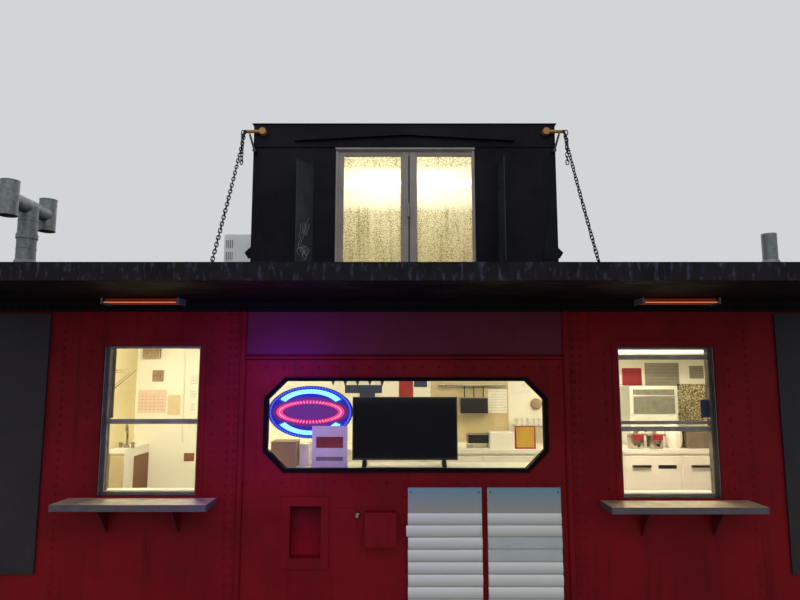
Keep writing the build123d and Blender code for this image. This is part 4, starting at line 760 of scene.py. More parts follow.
class Shape:
    """Points and faces gathered for one piece."""

    def __init__(self) -> None:
        """Starts with nothing."""
        self.points: list[Vector] = []
        self.faces: list[Face] = []
        self.kinds: list[int] = []

    def put(self, points: Iterable[Vector], faces: Iterable[Sequence[int]], kind: int = 0) -> None:
        """Adds a group of faces.

        Args:
            points: its points.
            faces: its faces, counted from the first of these points.
            kind: which of the piece's finishes they take.
        """
        base = len(self.points)
        self.points.extend(points)
        before = len(self.faces)
        self.faces.extend(tuple(base + i for i in face) for face in faces)
        self.kinds.extend([kind] * (len(self.faces) - before))

    def prism(self, side: Side, outline: Outline, low: float, high: float, kind: int = 0) -> None:
        """Adds an outline on a side, standing from one distance out of it to another.

        Args:
            side: the face that the outline is drawn on.
            outline: its corners, across and up.
            low: where it starts.
            high: where it ends.
            kind: which finish it takes.
        """
        count = len(outline)
        points = [side.at(u, v, w) for w in (low, high) for u, v in outline]
        faces = [tuple(reversed(range(count))), tuple(range(count, 2 * count)), *band(0, count, count)]
        self.put(points, faces, kind)

    def block(self, side: Side, across: Pair, up: Pair, out: Pair, kind: int = 0) -> None:
        """Adds a straight block from its three spans on a side; the span across may run either way."""
        (a, b), (c, d) = sorted(across), up
        self.prism(side, ((a, c), (b, c), (b, d), (a, d)), out[0], out[1], kind)

    def tube(self, path: Sequence[Vector], radius: float, sides: int = 10, closed: bool = False,
             kind: int = 0) -> None:
        """Adds a round bar along a path.

        Args:
            path: the points of its middle.
            radius: its radius.
            sides: the number of flats round it.
            closed: True for a ring.
            kind: which finish it takes.
        """
        count = len(path)
        along = [(path[(i + 1) % count] - path[i - 1]) if closed or 0 < i < count - 1
                 else (path[min(i + 1, count - 1)] - path[max(i - 1, 0)]) for i in range(count)]
        across = along[0].orthogonal().normalized()
        points = []
        for middle, run in zip(path, along):
            run = run.normalized()
            across = (across - run * across.dot(run)).normalized()
            other = run.cross(across)
            points += [middle + (across * c + other * s) * radius for c, s in circle(sides)]
        faces: list[Face] = []
        for i in range(count if closed else count - 1):
            faces += band(i * sides, ((i + 1) % count) * sides, sides)
        if not closed:
            faces.append(tuple(reversed(range(sides))))
            faces.append(tuple(range((count - 1) * sides, count * sides)))
        self.put(points, faces, kind)

    def lathe(self, side: Side, centre: Pair, profile: Outline, sides: int = 24, kind: int = 0) -> None:
        """Turns a profile about a line that stands out of a side.

        Args:
            side: the face that the line stands on.
            centre: where it stands, across and up.
            profile: pairs of radius and distance out; it starts and ends on the line.
            sides: the number of flats round it.
            kind: which finish it takes.
        """
        points = [side.at(*centre, profile[0][1])]
        for radius, out in profile[1:-1]:
            points += side.ring(centre, radius, out, sides)
        points.append(side.at(*centre, profile[-1][1]))
        last = len(points) - 1
        top = last - sides
        faces: list[Face] = [(0, 1 + (k + 1) % sides, 1 + k) for k in range(sides)]
        for start in range(1, top, sides):
            faces += band(start, start + sides, sides)
        faces += [(top + k, top + (k + 1) % sides, last) for k in range(sides)]
        self.put(points, faces, kind)

    def domes(self, spots: Iterable[Vector], out: Vector, radius: float = 0.0105, height: float = 0.007,
              kind: int = 0) -> None:
        """Adds round rivet heads.

        Args:
            spots: where they sit.
            out: which way they point.
            radius: the head's radius.
            height: how far it stands out.
            kind: which finish they take.
        """
        out = out.normalized()
        across = out.orthogonal().normalized()
        other = out.cross(across)
        sides = 8
        for spot in spots:
            points = [spot + (across * c + other * s) * (radius * share) + out * (height * lift)
                      for share, lift in ((1.0, -0.2), (0.92, 0.45), (0.5, 0.9)) for c, s in circle(sides)]
            points.append(spot + out * height)
            faces: list[Face] = [tuple(reversed(range(sides))), *band(0, sides, sides),
                                 *band(sides, 2 * sides, sides)]
            faces += [(2 * sides + k, 2 * sides + (k + 1) % sides, 3 * sides) for k in range(sides)]
            self.put(points, faces, kind)

    def sheet(self, side: Side, across: Pair, up: Pair, out: Pair, holes: Sequence[Box] = (),
              kind: int = 0) -> None:
        """Adds a flat sheet with square holes cut through it.

        Args:
            side: the face that it lies on.
            across: its span across, which may run either way.
            up: its span up.
            out: where its two faces lie.
            holes: low and high across, low and high up, of each hole.
            kind: which finish it takes.
        """
        start, end = sorted(across)
        lines_u = sorted({start, end, *(h[0] for h in holes), *(h[1] for h in holes)})
        lines_v = sorted({*up, *(h[2] for h in holes), *(h[3] for h in holes)})
        lines_u = [u for u in lines_u if start <= u <= end]
        lines_v = [v for v in lines_v if up[0] <= v <= up[1]]
        columns, rows = len(lines_u), len(lines_v)

        def solid(i: int, j: int) -> bool:
            """Says whether the cell between four lines is sheet.

            Args:
                i: its column.
                j: its row.

            Returns:
                True if no hole takes it.
            """
            if not (0 <= i < columns - 1 and 0 <= j < rows - 1):
                return False
            u, v = (lines_u[i] + lines_u[i + 1]) / 2, (lines_v[j] + lines_v[j + 1]) / 2
            return not any(a < u < b and c < v < d for a, b, c, d in holes)

        points = [side.at(u, v, w) for w in out for v in lines_v for u in lines_u]
        layer = columns * rows
        faces: list[Face] = []
        for j in range(rows - 1):
            for i in range(columns - 1):
                if not solid(i, j):
                    continue
                a, d = j * columns + i, (j + 1) * columns + i
                b, c = a + 1, d + 1
                faces += [(d, c, b, a), (a + layer, b + layer, c + layer, d + layer)]
                for empty, (p, q) in ((not solid(i, j - 1), (a, b)), (not solid(i + 1, j), (b, c)),
                                      (not solid(i, j + 1), (c, d)), (not solid(i - 1, j), (d, a))):
                    if empty:
                        faces.append((p, q, q + layer, p + layer))
        used = sorted({i for face in faces for i in face})
        place = {old: new for new, old in enumerate(used)}
        self.put([points[i] for i in used], [tuple(place[i] for i in face) for face in faces], kind)

    def build(self, name: str, paints: Paint | Sequence[Paint], slot: str, body: str = CARBODY,
              soften: float = 0.0, smooth_deg: float = 35.0) -> bpy.types.Object:
        """Makes the piece and lets it ride.

        Args:
            name: the piece's name.
            paints: its finish, or one for each kind of face.
            slot: the record's material slot; not used.
            body: the body that it moves with.
            soften: how wide its sharp edges are chamfered, in metres.
            smooth_deg: the angle up to which faces shade smoothly.

        Returns:
            The new object.
        """
        mesh = bpy.data.meshes.new(name)
        mesh.from_pydata(self.points, [], self.faces)
        for paint in paints if isinstance(paints, tuple) else (paints,):
            mesh.materials.append(paint.material)
        mesh.polygons.foreach_set("material_index", self.kinds)
        if soften:
            work = bmesh.new()
            work.from_mesh(mesh)
            sharp = [e for e in work.edges if e.is_manifold and e.calc_face_angle(0.0) > math.radians(50)]
            bmesh.ops.bevel(work, geom=sharp, offset=soften, offset_type="OFFSET", segments=1, affect="EDGES",
                            clamp_overlap=True)
            work.to_mesh(mesh)
            work.free()
        mesh.polygons.foreach_set("use_smooth", [True] * len(mesh.polygons))
        mesh.set_sharp_from_angle(angle=math.radians(smooth_deg))
        mesh.update()
        piece = bpy.data.objects.new(name, mesh)
        bpy.context.scene.collection.objects.link(piece)
        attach(piece, body)
        LOG.info("%s: %d faces on %s", name, len(mesh.polygons), body)
        return piece


def row(side: Side, start: float, end: float, up: float, pitch: float, out: float = 0.0) -> list[Vector]:
    """Gives evenly spaced points across a side.

    Args:
        side: the face.
        start: where the row starts, across.
        end: where it ends.
        up: its height.
        pitch: the distance between two points, about.
        out: the distance out of the face.

    Returns:
        The points.
    """
    count = max(1, round(abs(end - start) / pitch))
    return [side.at(start + (end - start) * i / count, up, out) for i in range(count + 1)]


def column(side: Side, across: float, start: float, end: float, pitch: float,
           out: float = 0.0) -> list[Vector]:
    """Gives evenly spaced points up a side, like row."""
    count = max(1, round(abs(end - start) / pitch))
    return [side.at(across, start + (end - start) * i / count, out) for i in range(count + 1)]


@dataclass
class BodyRivets:
    """The rivet lines, seams and window surrounds of the sides and ends."""

    pitch: float = 0.0535
    loose_pitch: float = 0.107
    eave_z: float = 3.014
    low_z: float = 1.04
    # how far the rows reach from the middle, and between which heights the lines run
    reach: float = 3.9
    lines_z: Pair = (1.12, 2.97)
    post_x: Pair = (2.16, 3.72)
    seam_x: Pair = (1.065, 1.108)
    end_x: float = 3.95
    # where the far side's windows break the lines at their posts
    far_window_z: Pair = (1.86, 2.74)
    # low x, high x, low z, high z of the two serving windows
    windows: tuple[Box, ...] = ((-1.905, -1.293, 1.850, 2.776), (1.350, 1.962, 1.836, 2.768))
    frame_back: float = 0.056
    # where the cam latch of the small blank plate turns, across and up
    latch: Pair = (-0.288, 1.742)
    latch_pin: Outline = ((0, 0.0), (0.011, 0.0), (0.011, 0.009), (0.008, 0.012), (0, 0.0125))
    # low x, high x, low z, high z of the recessed box, and how deep its back lies
    recess: Box = (-0.7045, -0.5145, 1.4835, 1.7895)
    recess_deep: float = 0.0545

    def build(self) -> None:
        """Adds the rivets of both sides and ends, and then the thin plates round the serving windows."""
        for side, name in ((SERVING, "serving"), (FAR, "far")):
            heads = Shape()
            spots = row(side, -self.reach, self.reach, self.eave_z, 0.051)
            spots += row(side, -self.reach, self.reach, self.low_z, self.loose_pitch, 0.008)
            gap_low, gap_high = self.far_window_z
            for hand in HANDS:
                for x in self.seam_x + self.post_x:
                    line = column(side, hand * x, *self.lines_z, self.pitch)
                    spots += [s for s in line
                              if side is SERVING or x != self.post_x[0] or not gap_low < s.z < gap_high]
            if side is SERVING:
                for z in (2.635, 1.931):
                    spots += row(side, -0.98, 0.98, z, self.loose_pitch)
                spots += column(side, 0.0, 1.09, 1.9, 0.055)
                for low, high, bottom, top in self.windows:
                    spots += row(side, low - 0.15, high + 0.1, top + 0.165, self.loose_pitch)
                    for x in (low - 0.085, high + 0.085):
                        spots += column(side, x, bottom + 0.06, top - 0.04, self.loose_pitch, 0.001)
            else:
                for z in (1.80, 2.82):
                    spots += row(side, -3.68, 3.68, z, self.loose_pitch)
            heads.domes(spots, Vector(side.out))
            heads.build(f"rivets_{name}_side", Paint.RED if side is SERVING else Paint.RED_FAR, "red_paint")
        fine = Shape()
        spots = []
        for low, high, _, top in self.windows:
            for lift in (0.055, 0.085):
                spots += row(SERVING, low + 0.02, high - 0.02, top + lift, 0.092)
        fine.domes(spots, Vector(SERVING.out), 0.006, 0.003)
        fine.build("rivets_window_heads", Paint.RED, "red_paint")
        for name, end in ENDS:
            side = facing_x(end, end * self.end_x)
            heads = Shape()
            spots = []
            for hand in HANDS:
                for u in (0.42, 1.33):
                    spots += column(side, hand * u, 1.2, 3.14, 0.08)
                for v in (1.9, 2.7):
                    spots += row(side, hand * 0.5, hand * 1.3, v, 0.09)
            heads.domes(spots, Vector(side.out))
            heads.build(f"rivets_end_{name}", Paint.RED_PLAIN, "red_paint")
        plates = Shape()
        for low, high, bottom, top in self.windows:
            hand = -1 if low < 0 else 1
            inner, outer = sorted((abs(low), abs(high)))
            span = (hand * (inner - 0.265 if hand < 0 else inner - 0.275), hand * (outer + 0.215))
            plates.sheet(SERVING, span, (1.12, top + 0.195), (0.0, 0.0012),
                         ((low - 0.001, high + 0.001, bottom - 0.02, top + 0.001),))
            plates.sheet(SERVING, (low - 0.038, high + 0.038), (bottom - 0.012, top + 0.038),
                         (0.0012, 0.0055), ((low, high, bottom, top),))
        plates.build("window_surrounds", Paint.RED, "red_paint", soften=0.0008)
        latch, (u, v) = Shape(), self.latch
        latch.lathe(SERVING, self.latch, self.latch_pin, 12)
        latch.block(SERVING, (u - 0.012, u + 0.002), (v - 0.021, v + 0.004), (0.0065, 0.0095))
        latch.build("plate_latch", Paint.STAINLESS, "red_paint", soften=0.0006)
        # The recess back is darker at the top: painted shadow under the box's head.
        back = Shape()
        back.sheet(SERVING, self.recess[:2], self.recess[2:], (-self.recess_deep, 0.001 - self.recess_deep))
        back.build("recess_back", Paint.RED_PAINTED_SHADOW, "red_paint")
        tracks, sills, reveals = Shape(), Shape(), Shape()
        for low, high, bottom, top in self.windows:
            # The reveals are painted dark as painted shade in the window openings.
            reveals.sheet(SERVING, (low, high), (bottom, top), (-self.frame_back, -0.001),
                          ((low + 0.003, high - 0.003, bottom + 0.004, top - 0.003),))
            for x, hand in ((low + 0.003, 1), (high - 0.003, -1)):
                for depth in (0.006, 0.026, 0.046):
                    tracks.block(SERVING, (x, x + hand * 0.005), (bottom + 0.004, top - 0.003),
                                 (-depth - 0.002, -depth))
            sills.block(SERVING, (low - 0.06, high + 0.06), (bottom - 0.028, bottom - 0.003), (-0.30, -0.087))
        tracks.build("sash_tracks", Paint.ALUMINIUM, "aluminium_frame")
        reveals.build("window_reveals", Paint.REVEAL_SHADE, "aluminium_frame")
        sills.build("inner_sills", Paint.MELAMINE, "white_laminate", soften=0.002)


@dataclass(frozen=True)
class Link:
    """One oval link of welded chain."""

    wire: float = 0.0034
    long: float = 0.041
    wide: float = 0.025

    @property
    def pitch(self) -> float:
        """The distance from one link to the next."""
        return self.long - 4 * self.wire

    def add(self, shape: Shape, middle: Vector, along: Vector, turn: float) -> None:
        """Adds the link.

        Args:
            shape: where it goes.
            middle: its middle.
            along: the direction of the chain.
            turn: its roll about that direction.
        """
        along = along.normalized()
        across = along.orthogonal().normalized()
        across = across * math.cos(turn) + along.cross(across) * math.sin(turn)
        straight = (self.long - self.wide) / 2
        bend = (self.wide - 2 * self.wire) / 2
        path = []
        for c, s in circle(14):
            lift = math.copysign(straight, s) if abs(s) > 0.001 else 0.0
            path.append(middle + across * (c * bend) + along * (s * bend + lift))
        shape.tube(path, self.wire, 6, True)


@dataclass
class AwningChains:
    """Two welded chains from the cupola's brackets to the awning, each with a spare tail."""

    link: Link = Link()
    top: Spot = (1.044, -1.4985, 4.170)
    foot: Spot = (1.052, -2.110, 3.150)
    sag: float = 0.012
    tail_links: int = 9
    eye: Outline = ((0, -0.046), (0.02, -0.046), (0.02, -0.038), (0.008, -0.034), (0.008, -0.012), (0, -0.01))

    def build(self) -> None:
        """Hangs both chains and stands them in for the plain bars."""
        pitch = self.link.pitch
        shape = Shape()
        for hand in HANDS:
            start = Vector((hand * self.top[0], self.top[1], self.top[2]))
            end = Vector((hand * self.foot[0], self.foot[1], self.foot[2]))
            run = end - start
            count = round(run.length / pitch)
            for i in range(count + 1):
                share = i / count
                middle = start + run * share - Vector((0, 0, 4 * self.sag * share * (1 - share)))
                self.link.add(shape, middle, run, 0.55 + i * math.pi / 2 + 0.25 * math.sin(i * 1.7))
            for i in range(self.tail_links):
                drop = -0.01 - pitch * 0.96 * i
                middle = start + Vector((hand * (0.012 - 0.001 * i), -0.014 - 0.004 * i, drop))
                self.link.add(shape, middle, Vector((0.05 * hand, -0.1, -1)), 1.2 + i * math.pi / 2)
            under = Side(tuple(end), (1, 0, 0), (0, 1, 0), (0, 0, 1))
            shape.lathe(under, (0, 0), self.eye, 12)
        chains = shape.build("hanging_chains", Paint.CHAIN, "chain_steel")
        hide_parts("awning_chains")


@dataclass
class Cupola:
    """Sheets, seams and small fittings of the cupola."""

    seam_z: float = 4.087
    top_z: float = 4.244
    half: float = 0.992
    crease: tuple[Pair, Pair] = ((0.968, 3.811), (0.89, 3.332))
    # low x and high x of the two panes
    panes: tuple[Pair, ...] = ((-0.399, -0.022), (0.081, 0.443))
    pane_z: Pair = (3.275, 4.025)
    # low x and high x of the two meeting stiles, and their heights
    stiles: tuple[Pair, ...] = ((-0.020, 0.024), (0.036, 0.079))
    stile_z: Pair = (3.25, 4.05)
    lip: float = 0.011

    def build(self) -> None:
        """Adds the lapped sheets, a dark strip under each lap as painted shadow, corner creases, rivets and
        sash fittings.
        """
        sheets, lap_shadows, heads = Shape(), Shape(), Shape()
        across = (-self.half, self.half)
        for side in (SERVING, FAR):
            sheets.block(side, across, (self.seam_z, self.top_z), (0.0, 0.0022))
            # A dark strip under each lap sheet: painted shadow of the lap.
            lap_shadows.block(side, across, (self.seam_z - 0.009, self.seam_z), (0.0, 0.0012))
            spots = row(side, -0.96, 0.96, 4.225, 0.16, 0.002)
            for hand in HANDS:
                (top_x, top_z), (low_x, low_z) = self.crease
                outline = [(hand * self.half, top_z), (hand * top_x, top_z), (hand * low_x, low_z),
                           (hand * self.half, low_z)]
                sheets.prism(side, outline if hand < 0 else list(reversed(outline)), 0.0, 0.0026)
                spots += column(side, hand * 0.84, 3.3, 4.0, 0.235)
                spots += column(side, hand * 0.98, 3.25, 4.05, 0.2, 0.001)
            heads.domes(spots, Vector(side.out), 0.006, 0.003)
        sheets.build("cupola_lap_sheets", Paint.BLACK, "black_paint", soften=0.0006)
        lap_shadows.build("cupola_lap_shadow_strip", Paint.LAP_SHADOW, "black_paint")
        heads.build("cupola_rivets", Paint.BLACK, "black_paint")
        self._sashes()
        ends = Shape()
        for end in HANDS:
            side = facing_x(end, end * (self.half + 0.005))
            for hand in HANDS:
                spots = column(side, hand * 1.34, 3.32, 4.2, 0.08)
                spots += row(side, 0.05 * hand, hand * 1.3, 4.16, 0.1)
                ends.domes(spots, Vector(side.out), 0.007, 0.0035)
                ends.sheet(side, (hand * 0.355, hand * 0.925), (3.615, 4.085), (0.0, 0.004),
                           ((*sorted((hand * 0.385, hand * 0.895)), 3.645, 4.055),))
        ends.build("cupola_end_trim", Paint.BLACK, "black_paint")

    def _sashes(self) -> None:
        """Adds the beads round the panes, the meeting stiles with their catch, and the drip rail."""
        beads, shut = Shape(), Shape()
        low_z, high_z = self.pane_z
        for side, flip in ((SERVING, 1), (FAR, -1)):
            for pane in self.panes:
                low, high = sorted(flip * x for x in pane)
                beads.sheet(side, (low - self.lip, high + self.lip), (low_z - self.lip, high_z + self.lip),
                            (-0.012, 0.005), ((low, high, low_z, high_z),))
            for low, high in self.stiles:
                beads.block(side, (flip * low, flip * high), self.stile_z, (-0.001, 0.0085))
            beads.block(side, (flip * 0.018, flip * 0.034), (3.61, 3.70), (0.0085, 0.019))
            shut.block(side, (flip * 0.018, flip * 0.042), (3.24, 4.06), (-0.030, -0.0265))
            beads.block(side, (flip * 0.005 - 0.458, flip * 0.005 + 0.458), (4.062, 4.076), (0.0, 0.022))
        beads.build("cupola_sash_beads", Paint.TAUPE, "grey_frame", soften=0.0015)
        shut.build("cupola_sash_seal", Paint.RUBBER, "gasket_rubber")


@dataclass
class Vanes:
    """Clips of the wind vanes, and a scrap of crumpled film caught at the foot of one."""

    # root x, tip x, reach and top z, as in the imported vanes
    vanes: tuple[Box, ...] = ((-0.603, -0.690, 0.118, 3.962), (0.611, 0.630, 0.140, 3.970))
    film_low: float = 3.325
    creases: int = 8
    tangles: int = 9
    seed: int = 4

    def build(self) -> None:
        """Adds clips on both sides and the film on the serving side."""
        clips, edges = Shape(), Shape()
        for side, hand in ((SERVING, 1), (FAR, -1)):
            for root, tip, reach, top in self.vanes:
                for share in (0.04, 0.9):
                    u = hand * (root + (tip - root) * share + 0.003)
                    clips.block(side, (u - 0.005, u + 0.005), (top - 0.007, top + 0.007),
                                (reach * share, reach * share + 0.010))
                u = hand * (tip + 0.003)
                edges.tube([side.at(u, z, reach - 0.005) for z in (3.305, top - 0.002)], 0.002, 8)
        clips.build("vane_clips", Paint.CHAIN, "black_paint", soften=0.001)
        edges.build("vane_edges", Paint.VANE, "black_paint")
        dice = random.Random(self.seed)
        film = Shape()
        root, tip, reach, _ = self.vanes[0]
        for stroke in range(self.creases):
            share = 0.92 - 0.07 * stroke + dice.uniform(-0.06, 0.06)
            z = 3.42 + 0.013 * stroke + dice.uniform(-0.03, 0.03)
            path = []
            for _ in range(6):
                share = min(0.95, max(0.05, share - dice.uniform(-0.02, 0.07)))
                path.append(SERVING.at(root + (tip - root) * share + 0.009, z, reach * share))
                z += dice.uniform(0.01, 0.024)
            film.tube(path, dice.uniform(0.0009, 0.0016), 5)
        for ring in range(self.tangles):
            middle, level = dice.uniform(0.3, 0.75), dice.uniform(self.film_low + 0.02, self.film_low + 0.075)
            wide, tall = dice.uniform(0.08, 0.24), dice.uniform(0.012, 0.034)
            start = dice.uniform(0, math.tau)
            path = []
            for k in range(9):
                angle = start + k * 0.7
                share = min(0.97, max(0.03, middle + wide * math.cos(angle)))
                path.append(SERVING.at(root + (tip - root) * share + 0.009 + 0.001 * (ring % 3),
                                       level + tall * math.sin(angle), reach * share))
            film.tube(path, dice.uniform(0.0009, 0.0016), 5)
        film.build("vane_film", Paint.FILM, "clear_glass")


@dataclass
class FlavourBoards:
    """Blank header plates and blank strips on the two boards under the picture window."""

    boards: tuple[Pair, ...] = ((0.020, 0.472), (0.508, 0.958))
    top: float = 1.902
    header: float = 0.148
    pitch: float = 0.072
    strips: int = 9
    # board and number of the strip that has slipped, how far, and of the two grey ones
    shifted: tuple[tuple[int, int], ...] = ((0, 1),)
    slipped: float = -0.011
    blank: tuple[tuple[int, int], ...] = ((1, 2), (1, 3))

    def build(self) -> None:
        """Adds the headers, their screws and the strips."""
        headers, strips = Shape(), Shape()
        for board, (low, high) in enumerate(self.boards):
            headers.block(SERVING, (low + 0.001, high - 0.001), (self.top - self.header, self.top - 0.001),
                          (0.0195, 0.0235))
            for u in (low + 0.018, high - 0.018):
                headers.lathe(SERVING, (u, self.top - 0.026), ((0, 0.023), (0.0055, 0.023), (0.005, 0.0262),
                                                                (0, 0.027)), 10, 1)
            for strip in range(self.strips):
                top = self.top - self.header - 0.004 - strip * self.pitch
                uneven = 0.001 * ((strip * 7 + board * 3) % 3 - 1)
                shift = self.slipped if (board, strip) in self.shifted else uneven
                self._strip(strips, low + shift, high + shift, top, 1 if (board, strip) in self.blank else 0)
        headers.build("flavour_headers", (Paint.HEADER, Paint.CHASSIS), "white_board", soften=0.0006)
        strips.build("flavour_strips", (Paint.STRIP, Paint.STRIP_BLANK), "white_board")

    def _strip(self, shape: Shape, low: float, high: float, top: float, kind: int) -> None:
        """Adds one strip, bowed out towards its lower edge.

        Args:
            shape: where it goes.
            low: its left end.
            high: its right end.
            top: the height of its upper edge.
            kind: which finish it takes.
        """
        tall = self.pitch - 0.006
        section = ((0.0, 0.0205), (0.08, 0.0232), (0.3, 0.0272), (0.6, 0.0290), (0.9, 0.0272), (1.0, 0.0215))
        points = [SERVING.at(u, top - tall * share, out) for u in (low, high) for share, out in section]
        points += [SERVING.at(u, top - tall * share, 0.0185) for u in (low, high) for share in (0.0, 1.0)]
        count = len(section)
        faces = [(i, i + 1, count + i + 1, count + i) for i in range(count - 1)]
        back = 2 * count
        faces += [(back, back + 1, *reversed(range(count))), (back + 3, back + 2, *range(count, 2 * count))]
        faces += [(back + 2, back + 3, back + 1, back)]
        faces += [(0, count, back + 2, back), (count - 1, back + 1, back + 3, 2 * count - 1)]
        shape.put(points, faces, kind)


@dataclass
class MenuBoards:
    """Edge trims and screws of the two blank menu boards."""

    boards: tuple[Pair, ...] = ((-3.472, -2.252), (2.352, 3.572))
    low: float = 1.39
    high: float = 2.98
    edge: float = 0.012
    inset: float = 0.04
    screw: Outline = ((0, 0.0118), (0.006, 0.0118), (0.005, 0.0148), (0, 0.0155))

    def build(self) -> None:
        """Adds a folded edge and screws to each board."""
        trims = Shape()
        for left, right in self.boards:
            trims.sheet(SERVING, (left, right), (self.low, self.high), (0.0115, 0.0145),
                        ((left + self.edge, right - self.edge, self.low + self.edge, self.high - self.edge),))
            for u in (left + self.inset, (left + right) / 2, right - self.inset):
                for v in (self.low + self.inset, self.high - self.inset):
                    trims.lathe(SERVING, (u, v), self.screw, 10)
        trims.build("menu_board_trims", Paint.BOARD_BLACK, "black_board", soften=0.0008)


@dataclass
class LightSign:
    """A blank oval light sign: a ring of small lamps, two blue arcs and a red oval, with a painted glow on the
    halo under the arcs and on the backing.
    """

    centre: Pair = (-0.605, 2.355)
    half: Pair = (0.272, 0.166)
    face_y: float = 1.352
    # piece, finish, the width and height of each oval against the sign, and how many lamps of which radius
    dots: tuple[tuple[str, Paint, tuple[Pair, ...], int, float], ...] = (
        ("sign_outer_lamps", Paint.BLUE_LED, ((0.945, 0.945),), 84, 0.0040),
        ("sign_red_lamps", Paint.RED_LED, ((0.78, 0.42), (0.68, 0.34)), 60, 0.0050),
        ("sign_pink_lamps", Paint.PINK_LED, ((0.73, 0.38),), 60, 0.0036),
    )
    # first and last angle of the arcs in degrees, and their sizes against the sign
    arcs: tuple[Pair, ...] = ((36, 144), (216, 324))
    arc_shares: Spot = (0.84, 0.79, 0.74)

    def _oval(self, share: Pair, start: float, end: float, count: int) -> list[Pair]:
        """Gives points on an oval inside the sign's edge.

        Args:
            share: its width and height against the sign.
            start: the first angle in degrees.
            end: the last one.
            count: how many points.

        Returns:
            The points, across and up.
        """
        angles = [math.radians(start + (end - start) * i / (count - 1)) for i in range(count)]
        return [(self.centre[0] + self.half[0] * share[0] * math.cos(a),
                 self.centre[1] + self.half[1] * share[1] * math.sin(a)) for a in angles]

    def build(self) -> None:
        """Adds the lamps in front of the sign's back."""
        face, out = self.face_y, Vector(INSIDE.out)
        for name, paint, shares, count, radius in self.dots:
            dots = Shape()
            for share in shares:
                spots = [INSIDE.at(u, v, face + 0.0015)
                         for u, v in self._oval(share, 0, 360 - 360 / count, count)]
                dots.domes(spots, out, radius, radius)
            dots.build(name, paint, "sign_face")
        arcs = Shape()
        # The halo under each arc gives light as a painted glow.
        for start, end in self.arcs:
            halo = [*self._oval((0.885, 0.885), start - 4, end + 4, 40),
                    *reversed(self._oval((0.70, 0.70), start - 4, end + 4, 40))]
            arcs.prism(INSIDE, halo, face + 0.0014, face + 0.0022, 1)
            for share in self.arc_shares:
                arc = self._oval((share, share), start, end, 34)
                spots = [INSIDE.at(u, v, face + 0.0022) for u, v in arc]
                arcs.domes(spots, out, 0.0054, 0.0045)
        arcs.build("sign_blue_arcs", (Paint.CYAN_LED, Paint.BLUE_HALO), "sign_face")
        # The backing gives light too, as a painted glow of the lamps.
        back = Shape()
        back.prism(INSIDE, self._oval((0.985, 0.985), 0, 354, 60), face - 0.001, face + 0.0008)
        back.prism(INSIDE, self._oval((0.90, 0.56), 0, 354, 60), face + 0.0004, face + 0.0013, 1)
        back.build("sign_backing", (Paint.BLUE_BACK, Paint.VIOLET_BACK), "sign_face")


@dataclass(frozen=True)
class Fitting:
    """One piece inside the cabin, of straight blocks, turned parts and bent bars."""

    name: str
    paints: Paint | tuple[Paint, ...]
    # low and high across, up and out of the side, and the kind of finish
    blocks: tuple[tuple[float, ...], ...] = ()
    soften: float = 0.0
    side: Side = INSIDE
    # the side, the middle, the profile, the number of flats and the kind of finish
    turned: tuple[tuple[Any, ...], ...] = ()
    # the points, the radius, the number of flats and the kind of finish
    bars: tuple[tuple[Any, ...], ...] = ()
    slot: str = "white_laminate"

    def build(self) -> None:
        """Makes the piece."""
        shape = Shape()
        for a, b, c, d, e, f, kind in self.blocks:
            shape.block(self.side, (a, b), (c, d), (e, f), kind)
        for side, middle, profile, sides, kind in self.turned:
            shape.lathe(side, middle, profile, sides, kind)
        for path, radius, sides, kind in self.bars:
            shape.tube([Vector(spot) for spot in path], radius, sides, kind=kind)
        shape.build(self.name, self.paints, self.slot, soften=self.soften)


